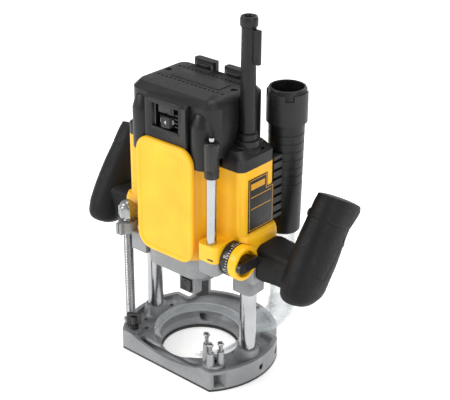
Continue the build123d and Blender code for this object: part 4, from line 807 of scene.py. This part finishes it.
@dataclass
class Dust:
    """Clear duct at the base and the black tube that takes the hose."""

    x: float = 67.0
    y: float = 56.0
    pipe_radius: float = 13.0
    wall: float = 1.6
    pipe_span: tuple[float, float] = (48.0, 208.0)
    elbow_top: float = 62.0
    elbow_bottom: float = 24.2
    start: float = 46.5
    width: float = 29.6
    tube_low: float = 150.0
    tube_high: float = 308.0
    foot_radius: float = 17.0
    top_radius: float = 18.6
    bore: float = 15.0
    port_bore: float = 16.6
    port_depth: float = 30.0
    collar: tuple[float, float] = (272.0, 298.0)
    rib_pitch: float = 9.0

    def build(self) -> None:
        """Build the duct, the pipe, the hose tube, its collar and its bracket."""
        softened("dust_shroud", Body.BASE, CLEAR, 0.0)
        low, high = self.pipe_span
        r, w = self.pipe_radius, self.wall
        pipe = [(r - w, low), (r - 0.3, low), (r, low + 0.4), (r, high - 0.4), (r - 0.3, high), (r - w, high)]
        Shape().add(revolve(pipe, 72, close=True), (self.x, self.y, 0)).piece(
            "dust_pipe_piece", Body.BASE, CLEAR, ("dust_pipe",))
        self.elbow()
        self.tube()
        softened("bayonet_collar", Body.CARRIAGE, BLACK, 0.5)
        softened("tube_bracket", Body.CARRIAGE, BLACK, 0.4)

    def elbow(self) -> None:
        """Flared clear elbow: sections along a quadratic curve morph from a circle to a flat rounded mouth.

        Point = centre(s) + side * a(s) * |cos|^e + normal * b(s) * |sin|^e, where the exponent e falls from 1
        for a circle to 0.55 for the squarer mouth; the inner skin is the same with the wall taken off.
        """
        heading = math.atan2(self.y, self.x)
        reach = math.hypot(self.x, self.y)
        s = np.linspace(0, 1, 28)
        start, bend, end = (np.array(p) for p in ((reach, self.elbow_top), (reach - 2, 33.0), (self.start, 34.0)))
        a, b, c = ((1 - s) ** 2)[:, None], (2 * s * (1 - s))[:, None], (s**2)[:, None]
        line = a * start + b * bend + c * end
        slope = np.gradient(line, axis=0)
        slope /= np.linalg.norm(slope, axis=1)[:, None]
        normal = np.stack([slope[:, 1], -slope[:, 0]], 1)
        circle = self.pipe_radius + 0.05 + self.wall
        half_side = circle + (self.width / 2 - circle) * s
        half_up = circle + (9.6 - circle) * np.clip(s * 1.25, 0, 1)
        angle = np.linspace(0, 2 * np.pi, 64, endpoint=False)
        power = 1 - 0.45 * s
        skins = []
        for less in (0.0, self.wall):
            cs, sn = np.cos(angle)[None], np.sin(angle)[None]
            side = (half_side - less)[:, None] * np.sign(cs) * np.abs(cs) ** power[:, None]
            up = (half_up - less)[:, None] * np.sign(sn) * np.abs(sn) ** power[:, None]
            along = line[:, :1] + normal[:, :1] * up
            height = np.clip(line[:, 1:] + normal[:, 1:] * up, self.elbow_bottom + less, None)
            skins.append(np.stack([along * math.cos(heading) - side * math.sin(heading),
                                   along * math.sin(heading) + side * math.cos(heading), height], 2))
        loops = np.concatenate([skins[0], skins[1][::-1]])
        Shape().add(loft(loops, close=True)).piece("dust_elbow_piece", Body.BASE, CLEAR, ("dust_elbow",))

    def tube(self) -> None:
        """Ribbed tube: the outside radius steps in by 0.35 mm at each moulded band, and swells at the mouth."""
        low, high, (c_low, _) = self.tube_low, self.tube_high, self.collar
        rise = np.linspace(0, 1, 9)
        profile = [(self.bore, low), (self.foot_radius - 2.5, low)]
        profile += [(self.foot_radius - 2.5 + 2.5 * math.sin(a), low + 2.5 * (1 - math.cos(a)))
                    for a in rise * np.pi / 2]
        z, bands = 206.0, []
        while z < c_low - 3:
            r = self.foot_radius + (self.top_radius - self.foot_radius) * (z - low) / (c_low - low)
            bands += [(r, z), (r - 0.45, z + 0.35), (r - 0.45, z + 1.1), (r, z + 1.5)]
            z += self.rib_pitch
        profile += bands
        r = self.top_radius
        profile += [(r, c_low), (r + 0.55, c_low), (r + 0.55, high - 1.2), (r + 0.1, high - 0.3), (r - 0.6, high),
                    (self.port_bore + 0.4, high), (self.port_bore, high - 0.6), (self.port_bore, high - self.port_depth),
                    (self.bore, high - self.port_depth)]
        Shape().add(revolve(profile, 96, close=True), (self.x, self.y, 0)).piece(
            "hose_tube_piece", Body.CARRIAGE, BLACK, ("hose_tube",))


@dataclass
class Housing:
    """Carriage casting, yellow housing, front panel, rating plate and the parts inside."""

    panel_half: float = 38.0
    panel_low: float = 138.0
    panel_high: float = 263.0
    panel_corner: float = 17.0
    panel_front: float = -54.0
    panel_back: float = -50.0
    border: float = 5.0
    recess: float = 1.0
    rib_span: tuple[float, float] = (236.0, 255.0)
    rib_x: tuple[float, float] = (-29.0, 29.0)
    plate_x: float = 78.5

    def build(self) -> None:
        """Build the casting, the shells and the inner works."""
        softened("lower_casting", Body.CARRIAGE, CAST, 1.0)
        softened("motor_housing", Body.CARRIAGE, YELLOW, 1.1)
        self.panel()
        self.plate()
        self.marks()
        for node, finish in (("guide_bushes", BRONZE), ("stator", LAMINATE), ("bearings", CHROME),
                             ("upper_bearing_bracket", DIECAST), ("brush_gear", BRONZE), ("control_board", ACETAL),
                             ("spindle_shaft", CHROME), ("armature", LAMINATE), ("cooling_fan", FAN_GREY),
                             ("bearing_inners", CHROME), ("collet", CHROME), ("switch_box", ACETAL)):
            keep(node, finish)
        keep("collet_nut", BLACKED)
        softened("lock_button", Body.LOCK, ACETAL, 0.6)

    def panel(self) -> None:
        """Front panel: rounded rectangles inset towards the middle, level by level, then a grid over the recess.

        The recess's surface is flat but for the fluted band near its top, where the depth is
        0.35 * cos^2 of the place across, faded at the band's ends, and a fine step along the band's foot.
        """
        width, height = 2 * self.panel_half, self.panel_high - self.panel_low
        thick, round_r = self.panel_back - self.panel_front, 2.6
        turn = np.linspace(0, np.pi / 2, 6)
        rows = [(0.0, 0.0)] + [(round_r * (1 - math.cos(a)), thick - round_r + round_r * math.sin(a)) for a in turn]
        rows += [(self.border, thick), (self.border + 0.5, thick - 0.15),
                 (self.border + 1.4, thick - self.recess + 0.12),
                 (self.border + 2.0, thick - self.recess)]
        inner = self.border + 2.0
        steps = 24
        loops = [np.column_stack([rounded(width - 2 * i, height - 2 * i, self.panel_corner - i, steps),
                                  np.full(4 * steps, z)]) for i, z in rows]
        field_loops = []
        for share in np.linspace(1, 0, 60)[1:]:
            base = rounded(width - 2 * inner, height - 2 * inner, self.panel_corner - inner, steps) * share
            field_loops.append(np.column_stack([base, np.full(len(base), thick - self.recess)]))
        points = np.concatenate([np.stack(loops), np.stack(field_loops)])
        middle = (self.panel_low + self.panel_high) / 2
        x, z = points[len(loops):, :, 0], points[len(loops):, :, 1] + middle
        low, high = self.rib_span
        fade = np.clip((z - low) / 1.5, 0, 1) * np.clip((high - z) / 4, 0, 1)
        fade *= np.clip((x - self.rib_x[0]) / 3, 0, 1) * np.clip((self.rib_x[1] - x) / 3, 0, 1)
        flute = 0.30 * np.cos(np.pi * x / 5.2) ** 2 * fade
        line = 0.30 * np.exp(-(((z - low + 1.0) / 0.6) ** 2)) * (np.abs(x) < self.panel_half - inner - 1)
        points[len(loops):, :, 2] -= flute + line
        Shape().add(loft(points), (0, self.panel_back, middle), FACE_FRONT.to_4x4()).piece(
            "front_cover_piece", Body.CARRIAGE, YELLOW, ("front_cover",), math.radians(50))

    def plate(self) -> None:
        """Rating plate film and its plain printed rules, which stand 0.05 mm proud."""
        keep("rating_plate", FILM)
        shape = Shape()
        for y0, y1, z0, z1 in ((-14.6, 11.6, 231.2, 231.8), (-14.6, -14.0, 176.6, 231.8), (-14.6, 21.6, 176.6, 177.2),
                               (21.0, 21.6, 176.6, 216.6), (11.6, 21.6, 216.0, 216.6), (11.0, 11.6, 216.0, 231.8),
                               (-12.0, 9.0, 221.0, 227.5), (-12.0, 19.0, 212.4, 213.2), (-12.0, 19.0, 199.6, 200.4)):
            shape.add(bar_box((self.plate_x - 0.2, self.plate_x + 0.05), (y0, y1), (z0, z1), 0.01, 0.05))
        shape.piece("plate_rules", Body.CARRIAGE, PRINT)

    def marks(self) -> None:
        """Pointer mark on the rod's block."""
        shape = Shape().add(bar_box((59.5, 66.5), (-55.35, -54.8), (155.0, 156.6), 0.1, 0.1))
        shape.piece("scale_pointer", Body.CARRIAGE, ACETAL)


@dataclass
class Head:
    """Black top cover with its window, dial, raised ledge, buttress and cord guard."""

    guard: tuple[float, float] = (62.0, 1.0)
    guard_radius: float = 7.7
    guard_top: float = 392.0
    guard_foot: float = 259.2
    guard_bore: float = 4.5
    dial_y: float = -43.0
    dial_low: float = 278.0
    dial_height: float = 12.0
    dial_radius: float = 10.0
    head_top: float = 313.0
    screw_x: float = 43.5
    screw_y: float = 2.0

    def build(self) -> None:
        """Build the cover and all that stands on it."""
        softened("top_cover", Body.CARRIAGE, BLACK, 1.4, spare=self.vents)
        softened("guard_collar", Body.CARRIAGE, BLACK, 0.5)
        keep("cover_screws", BLACKED)
        self.ledge()
        self.buttress()
        self.cord_guard()
        self.window()
        self.dial()

    def vents(self, middles: Array) -> Array:
        """Which edges belong to the vent slots and screw holes of the cover's top."""
        x, y, z = middles.T
        rows = (np.abs(y + 14) < 1.6) | (np.abs(y - 17.5) < 1.6)
        holes = np.hypot(np.abs(x) - self.screw_x, y - self.screw_y) < 4.2
        return (z > 307) & ((rows & (np.abs(x) < 46)) | holes)

    def ledge(self) -> None:
        """Low raised field between the vent rows, and the hoops of the rear lugs."""
        shape = Shape().add(bar_box((-33, 33), (-8.5, 11.5), (self.head_top - 0.5, self.head_top + 0.7), 0.5, 3))
        for x in (-20.0, 20.0):
            shape.add(bar_box((x - 9, x + 9), (26.5, 37.6), (self.head_top - 1, self.head_top + 4.5), 1.5, 3))
        shape.piece("cover_ledge", Body.CARRIAGE, BLACK)

    def buttress(self) -> None:
        """Round corner tower: (radius, height) outline with a sloped crown, round a circle; mounds at the guard."""
        tower = [(0, 244), (13.2, 244), (13.2, 286), (12.9, 287), (9.5, 299.5), (8.6, 300.6), (0, 301)]
        shape = Shape()
        for x in (-39.0, 39.0):
            shape.add(revolve(tower, 72), (x, -36.5, 0))
        rise = np.linspace(0, np.pi / 2, 12)
        mound = [(0, 250)] + [(17.0 * math.cos(a), 256.5 + 9.0 * math.sin(a)) for a in rise]
        shape.add(revolve([*mound], 64), (59.0, 0.0, 0)).add(revolve([*mound], 64), (-59.0, 0.0, 0))
        shape.piece("cover_towers", Body.CARRIAGE, BLACK)

    def cord_guard(self) -> None:
        """Guard tube: an outline with a stepped foot, a slight taper and a collared mouth, round a circle."""
        x, y = self.guard
        r, top, bore = self.guard_radius, self.guard_top, self.guard_bore
        outline = [(bore, self.guard_foot), (r, self.guard_foot), (r + 4.2, 262), (r + 4.2, 266.6), (r + 3.4, 267.4),
                   (r + 2.4, 267.6), (r + 2.4, 274.2), (r + 1.7, 275), (r, 275.2), (r - 0.2, 330), (r - 0.5, 380.4),
                   (r - 0.5, 381.2), (r + 0.5, 381.9), (r + 1, 382.8), (r + 1, 389.4), (r + 0.2, 391.6), (r - 0.9, top),
                   (bore + 1.2, top), (bore + 0.3, top - 1.2), (bore, top - 3)]
        shape = Shape().add(revolve(outline, 80, close=True), (x, y, 0))
        shape.add(bar_box((x + 5.5, x + 14), (y - 2.4, y + 2.4), (346, 386 - 6), 0.8, 1.0))
        shape.add(bar_box((x + 7.5, x + 12.4), (y - 2.9, y + 2.9), (350, 353), 0.5, 0.8))
        shape.piece("cord_guard_piece", Body.CARRIAGE, BLACK, ("cord_guard",))

    def window(self) -> None:
        """Frame of the window and the slider block above the dial."""
        shape = Shape().add(bar_box((-15.5, -13.5), (-48.5, -37.5), (276.5, 299.5), 0.3, 0.5))
        shape.add(bar_box((-11.5, 9.5), (-47.8, -40.0), (291.0, 299.8), 0.8, 1.6))
        shape.add(bar_box((2.0, 7.0), (-48.6, -44.0), (291.4, 299.6), 0.6, 1.2))
        for z in (280.0, 284.0, 288.0, 292.0):
            shape.add(bar_box((10.8, 16.0), (-47.5, -38.0), (z, z + 1.2), 0.2, 0.4))
        shape.piece("window_slider", Body.CARRIAGE, ACETAL)
        sill = Shape().add(bar_box((-18.5, 18.5), (-50.6, -46.5), (272.6, 275.9), 0.9, 1.2))
        sill.add(bar_box((-21.5, 21.5), (-50.8, -40.0), (300.4, 305.6), 1.4, 3.0))
        sill.piece("window_sill", Body.CARRIAGE, BLACK)

    def dial(self) -> None:
        """Facetted thumbwheel with a generic numeral on every facet."""
        facets = 7
        r, low, high = self.dial_radius, self.dial_low, self.dial_low + self.dial_height
        share = np.pi / facets
        figure = lambda a: r * np.cos(share) / np.cos((a % (2 * share)) - share)  # noqa: E731
        rows = ((0.3, low - 2.6), (0.3, low), (0.9, low), (1, low + 0.8), (1, high - 0.8), (0.9, high), (0.3, high),
                (0.3, high + 2.6))
        shape = Shape().add(loft(polar_loops(rows, figure, 14 * facets)), (0, self.dial_y, 0))
        shape.piece("speed_dial_piece", Body.DIAL, ACETAL, ("speed_dial",))
        marks = Shape()
        for index in range(facets):
            points, faces = numeral(str(index + 1), 5.6, 0.12)
            angle = -np.pi / 2 + share * 2 * (index - 3) + 0.30
            centre = round((angle - share) / (2 * share)) * 2 * share + share
            out = r * math.cos(share) + points[:, 2]
            flat = np.column_stack([out, points[:, 0], points[:, 1]])
            marks.add((flat, faces), (0, self.dial_y, low + self.dial_height / 2 + 0.1),
                      turned(math.degrees(centre), "Z"))
        marks.piece("dial_numerals", Body.DIAL, WHITE)


@dataclass
class Controls:
    """Depth rod with its knob, the height knob, scale ring and lock lever."""

    rod: tuple[float, float] = (58.0, -47.0)
    rod_top: float = 241.0
    knob_radius: float = 7.6
    knob_height: float = 37.0
    axis: tuple[float, float] = (-31.6, 152.0)
    ring: tuple[float, float] = (80.1, 90.0)
    ring_radius: float = 18.0
    ring_inner: float = 13.5
    scale: tuple[float, float] = (70.0, 79.8)
    shaft: float = 4.05

    def build(self) -> None:
        """Build the rod's and the knob's pieces."""
        keep("depth_rod", CHROME)
        keep("pinion_shaft", ZINC)
        self.top_knob()
        self.height_knob()
        self.scale_ring()
        softened("lock_lever", Body.LEVER, ACETAL, 1.0)

    def top_knob(self) -> None:
        """Fluted knob: r = radius * (1 - 0.035 * cos^2(flutes * angle)), with plain bands and a bored top."""
        x, y = self.rod
        low, high = self.rod_top + 0.35, self.rod_top + self.knob_height
        smooth, fluted = (lambda a: np.full_like(a, self.knob_radius)), (
            lambda a: self.knob_radius * (1 - 0.045 * np.cos(9 * a) ** 2))
        rows = [(0.36, low, smooth), (0.90, low, smooth), (0.97, low + 0.6, smooth), (0.97, low + 8, smooth),
                (0.93, low + 8.6, smooth), (0.93, low + 9.4, smooth), (1, low + 10, fluted), (1, high - 2, fluted),
                (0.95, high - 0.8, smooth), (0.86, high, smooth), (0.60, high, smooth), (0.56, high - 1.2, smooth),
                (0.36, high - 1.2, smooth)]
        loops = np.stack([polar_loops(((s, z),), shape, 108)[0] for s, z, shape in rows])
        Shape().add(loft(loops, close=True), (x, y, 0)).piece("top_knob_piece", Body.ROD_KNOB, ACETAL, ("top_knob",))

    def on_axis(self, profile: list[tuple[float, float]], turns: int = 96) -> tuple[Array, list[list[int]]]:
        """Revolve (radius, distance along +X) about the knob's axis."""
        points, faces = revolve(profile, turns, close=True)
        return moved(points, (0, *self.axis), FACE_X.to_4x4()), faces

    def height_knob(self) -> None:
        """Yellow ring: a closed outline with rounded rims and a dished web, carried round the axis."""
        low, high = self.ring
        r, inner = self.ring_radius, self.ring_inner
        outline = [(2.05, low), (r - 0.9, low), (r - 0.2, low + 0.3), (r, low + 1), (r, high - 1.4), (r - 0.4, high - 0.4),
                   (r - 1.2, high), (inner + 1.0, high), (inner + 0.3, high - 0.3), (inner, high - 1), (inner, low + 3),
                   (inner - 1, low + 2), (2.05, low + 2)]
        Shape().add(self.on_axis(outline)).piece("knob_ring_piece", Body.KNOB, YELLOW, ("knob_ring",))

    def scale_ring(self) -> None:
        """Black ring with white ticks and numerals bent round it."""
        low, high = self.scale
        r = self.ring_radius
        outline = [(self.shaft, low), (r - 0.7, low), (r - 0.1, low + 0.5), (r - 0.1, high - 0.5), (r - 0.7, high),
                   (self.shaft, high)]
        Shape().add(self.on_axis(outline)).piece("scale_ring_piece", Body.SCALE, ACETAL, ("scale_ring",))
        marks = Shape()
        for index in range(8):
            angle = math.radians(60 + 45 * index)
            points, faces = numeral(str(5 * index), 3.6, 0.12)
            upright = np.column_stack([points[:, 1], -points[:, 0], points[:, 2]])
            bent = wrapped(upright, r - 0.06, angle) + np.array([0, 0, (low + high) / 2 + 0.6])
            marks.add((moved(bent, (0, *self.axis), FACE_X.to_4x4()), faces))
        for index in range(40):
            tick = loft(slab(0.45, 2.0 if index % 5 else 2.8, 0.1, 0.12, 0.02, 3))
            bent = wrapped(tick[0], r - 0.1, math.radians(9 * index)) + np.array([0, 0, high - 1.7])
            marks.add((moved(bent, (0, *self.axis), FACE_X.to_4x4()), tick[1]))
        marks.piece("scale_marks", Body.SCALE, WHITE)


@dataclass
class Grips:
    """The two pistol grips with their necks, seams, ribs, screws and finger pieces."""

    x: float = 136.0
    sections: tuple = (
        (115.5, 2.0, 14.0, 12.0, 0.0), (117.0, 2.0, 20.0, 15.5, 0.0), (122.0, 1.5, 25.5, 18.0, 0.0),
        (128.0, 2.5, 27.5, 19.0, 0.02), (138.0, 7.0, 29.0, 20.0, 0.05), (150.0, 14.5, 29.5, 20.0, 0.12),
        (162.0, 22.0, 28.5, 19.5, 0.20), (174.0, 29.5, 26.5, 19.0, 0.30), (184.0, 37.5, 25.0, 18.5, 0.40),
        (192.0, 46.0, 26.5, 18.5, 0.48), (198.0, 52.0, 27.0, 18.5, 0.54), (202.0, 55.5, 26.5, 18.0, 0.58),
        (204.5, 56.0, 25.0, 17.0, 0.58),
    )
    neck_y: tuple[float, float] = (-11.0, 31.0)
    neck_z: tuple[float, float] = (119.0, 161.0)
    neck_x: float = 84.0
    crown: float = 3.5
    trigger_y: float = 44.0
    trigger_z: tuple[float, float] = (155.8, 192.2)
    screws: tuple = ((40.0, 172.0), (8.0, 136.0))

    def build(self) -> None:
        """Build both grips."""
        for side, word in ((-1, "left"), (1, "right")):
            skin = self.shell(side, word)
            self.screw_seats(side, word, skin)
        softened("trigger", Body.TRIGGER, ACETAL, 1.2)
        softened("plunge_lever", Body.PLUNGE_LEVER, ACETAL, 1.2)
        softened("lock_on_button", Body.LOCK_ON, ACETAL, 0.5)
        keep("trigger_pins", CHROME)

    def skin(self, level: Array) -> tuple[Array, ...]:
        """Middle, half depth, half width and tilt at each level, interpolated between the sections."""
        table = np.array(self.sections)
        return tuple(np.interp(level, table[:, 0], table[:, k]) for k in (1, 2, 3, 4))

    def shell(self, side: int, word: str) -> Array:
        """Organic grip on a grid of level and angle, with the neck as a second loft.

        x = side * (X + w * sgn(cos) |cos|^0.85) and y = m + d * sgn(sin) |sin|^0.85, where m, d and w run
        smoothly up the grip, and each loop leans: z = level - tilt * (y - m). The last loops close in a low
        crown. A V groove lies along the mould's parting plane, ribs cross the palm side, two fine lines mark
        the overmould's edge, and a window is pressed in behind the finger piece.
        """
        low, high = self.sections[0][0], self.sections[-1][0]
        level = np.linspace(low, high, 200)
        middle, depth, width, tilt = (
            np.convolve(np.pad(v, 6, "edge"), np.ones(13) / 13, "valid") for v in self.skin(level))
        dome = np.linspace(0, 1, 14)[1:]
        shrink = np.concatenate([np.ones(len(level)), np.sqrt(1 - dome**2)])
        level = np.concatenate([level, high + self.crown * dome])
        middle, depth, width, tilt = (np.pad(v, (0, len(dome)), "edge") for v in (middle, depth, width, tilt))
        angle = np.linspace(0, 2 * np.pi, 144, endpoint=False)
        c, s = np.cos(angle)[None], np.sin(angle)[None]
        u, v = np.sign(c) * np.abs(c) ** 0.85, np.sign(s) * np.abs(s) ** 0.85
        x = (width * shrink)[:, None] * u
        y = middle[:, None] + (depth * shrink)[:, None] * v
        z = level[:, None] - tilt[:, None] * (y - middle[:, None])
        body = (shrink > 0.9)[:, None]
        inward = 0.5 * np.exp(-((x / 0.5) ** 2))
        palm = np.clip((v - 0.45) / 0.15, 0, 1) * np.clip((150 - z) / 2, 0, 1) * np.clip((z - 122) / 2, 0, 1)
        inward += 0.6 * np.clip(np.cos(2 * np.pi * z / 4.2), 0, 1) * palm
        upper = np.exp(-(((z - 186 + 0.58 * (y - 40)) / 0.7) ** 2))
        lower = np.exp(-(((z - 141 - 0.9 * np.abs(y - 6)) / 0.9) ** 2)) * (y > -6)
        inward = (inward + 0.5 * (upper + lower) * (u > -0.3)) * body
        x, y = x - inward * u, y - inward * v
        pocket = (np.abs(x) < 7.4) & (z > self.trigger_z[0]) & (z < self.trigger_z[1]) & (v > 0)
        y = np.where(pocket, np.minimum(y, self.trigger_y - 8), y)
        loops = np.stack([side * (self.x + x), y, z], 2)
        shape = Shape().add(loft(loops if side > 0 else loops[:, ::-1]))
        shape.add(self.neck(side))
        shape.piece(f"{word}_grip_piece", Body.CARRIAGE, GRIP, (f"{word}_grip_inner", f"{word}_grip_outer"),
                    math.radians(45))
        return loops.reshape(-1, 3)

    def neck(self, side: int) -> tuple[Array, list[list[int]]]:
        """Rounded bar whose section shrinks by up to 2.5 mm in the middle: size = full - 2.5 * sin(pi * s)."""
        s = np.linspace(0, 1, 16)
        cy, cz = sum(self.neck_y) / 2, sum(self.neck_z) / 2
        ly, lz = self.neck_y[1] - self.neck_y[0], self.neck_z[1] - self.neck_z[0]
        loops = []
        for share in s:
            pinch = 1.6 * math.sin(math.pi * share) + 1.2 * max(0.0, 1 - share * 12)
            ring = rounded(ly - 2 * pinch, lz - 2 * pinch, 9.0, 10)
            x = self.neck_x + (self.x - self.neck_x) * share
            loops.append(np.column_stack([np.full(len(ring), side * x), ring[:, 0] + cy, ring[:, 1] + cz]))
        return loft(np.stack(loops))

    def screw_seats(self, side: int, word: str, skin: Array) -> None:
        """Dark recessed screw seats on the grip's outer face: a rim and a socket head, round the X axis."""
        shape = Shape()
        for y, z in self.screws:
            near = np.hypot(skin[:, 1] - y, skin[:, 2] - z) < 3
            reach = np.abs(skin[near, 0]).max() - 0.5
            rim = [(2.4, -4.5), (3.6, -4.5), (3.6, 0.0), (3.2, 0.4), (2.8, 0.3), (2.4, -0.4)]
            points, faces = revolve(rim, 36, close=True)
            turn = FACE_X if side > 0 else Matrix(((0, 0, -1), (1, 0, 0), (0, 1, 0)))
            shape.add((moved(points, (side * (reach - 0.2), y, z), turn.to_4x4()), faces))
            points, faces = revolve([(0, -4.5), (2.5, -4.5), (2.5, -1.6), (0.9, -1.6), (0.9, -3.4), (0, -3.4)], 24)
            shape.add((moved(points, (side * (reach - 0.2), y, z), turn.to_4x4()), faces))
        shape.piece(f"{word}_grip_screw_seats", Body.CARRIAGE, BLACKED, ("grip_screws",))


@dataclass
class Studio:
    """Pale floor, soft light and the camera."""

    place: tuple[float, float, float] = (0.75281, -0.83199, 0.73756)
    azimuth: float = 0.71227
    pitch: float = 0.46056
    roll: float = 0.005788
    focal_share: float = 1211.1 / 450
    floor_half: float = 6.0

    def build(self) -> None:
        """Build the floor, the lights and the camera."""
        self.floor()
        self.lights()
        self.camera()

    def floor(self) -> None:
        """Flat pale floor, marked as part of the stage."""
        mesh = bpy.data.meshes.new("studio_floor")
        h = self.floor_half
        mesh.from_pydata([(-h, -h, 0), (h, -h, 0), (h, h, 0), (-h, h, 0)], [], [(0, 1, 2, 3)])
        material = bpy.data.materials.new("matt_paper_white")
        material.use_nodes = True
        shader = material.node_tree.nodes["Principled BSDF"]
        shader.inputs["Base Color"].default_value = linear("#FAFAF9")
        shader.inputs["Roughness"].default_value = 0.9
        shader.inputs["Emission Color"].default_value = linear("#FFFFFF")
        shader.inputs["Emission Strength"].default_value = 0.42
        mesh.materials.append(material)
        floor = bpy.data.objects.new("studio_floor", mesh)
        bpy.context.scene.collection.objects.link(floor)
        floor.location.z = -0.0005
        floor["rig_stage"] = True

    def lights(self) -> None:
        """Soft boxes: key from the front left, weak fill from the right, one overhead, and an even sky."""
        for name, at, size, power in (("key", (-1.3, -1.9, 1.5), 1.1, 27.0), ("fill", (2.2, -0.6, 0.9), 1.2, 11.0),
                                      ("top", (0.1, 0.3, 2.3), 1.2, 19.0), ("rim", (-0.6, 2.1, 1.2), 1.0, 8.0)):
            lamp = bpy.data.lights.new(name, "AREA")
            lamp.size, lamp.energy = size, power
            obj = bpy.data.objects.new(name, lamp)
            bpy.context.scene.collection.objects.link(obj)
            obj.location = at
            aim = Matrix.Translation(at).inverted() @ Matrix.Translation((0, 0, 0.18))
            obj.rotation_euler = aim.translation.to_track_quat("-Z", "Y").to_euler()
        world = bpy.data.worlds.new("studio_sky")
        world.use_nodes = True
        sky = world.node_tree.nodes["Background"]
        sky.inputs["Color"].default_value = linear("#FFFFFF")
        sky.inputs["Strength"].default_value = 0.56
        tree = world.node_tree
        seen = add_node(tree, "Background", inputs={"Color": linear("#FFFFFF"), "Strength": 1.0})
        path = add_node(tree, "LightPath")
        blend = add_node(tree, "MixShader", links={0: (path, "Is Camera Ray"), 1: (sky, "Background"),
                                                   2: (seen, "Background")})
        tree.links.new(blend.outputs["Shader"], tree.nodes["World Output"].inputs["Surface"])
        bpy.context.scene.world = world
        bpy.context.scene.view_settings.view_transform = "Standard"

    def camera(self) -> None:
        """Camera whose axes are worked out from its azimuth, downward pitch and small roll."""
        a, p, r = self.azimuth, self.pitch, self.roll
        back = np.array([math.sin(a) * math.cos(p), -math.cos(a) * math.cos(p), math.sin(p)])
        right = np.cross(-back, [0, 0, 1.0])
        right /= np.linalg.norm(right)
        up = np.cross(right, -back)
        side, top = math.cos(r) * right + math.sin(r) * up, math.cos(r) * up - math.sin(r) * right
        data = bpy.data.cameras.new("camera")
        data.lens = data.sensor_width * self.focal_share
        data.clip_start, data.clip_end = 0.05, 50
        camera = bpy.data.objects.new("camera", data)
        bpy.context.scene.collection.objects.link(camera)
        turn = Matrix(np.column_stack([side, top, back]).tolist()).to_4x4()
        camera.matrix_world = Matrix.Translation(self.place) @ turn
        bpy.context.scene.camera = camera


def check_closed() -> None:
    """Report pieces whose surface has open edges."""
    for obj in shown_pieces():
        if "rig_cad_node" in obj or obj.type != "MESH":
            continue
        ends = [(a, b) for p in obj.data.polygons for a, b in pairwise([*p.vertices, p.vertices[0]])]
        _, count = np.unique(np.sort(np.array(ends), 1), axis=0, return_counts=True)
        if (count != 2).any():
            LOG.warning("%s has %d edges that aren't shared by two faces", obj.name, int((count != 2).sum()))


def main() -> None:
    """Build the sub-assemblies in order, then the stage."""
    for assembly in (Base(), LimitRod(), Turret(), Dust(), Housing(), Head(), Controls(), Grips(), Studio()):
        LOG.info("building %s", type(assembly).__name__)
        assembly.build()
    check_closed()


if __name__ == "__main__":
    logging.basicConfig(level=logging.INFO, format="%(message)s")
    main()
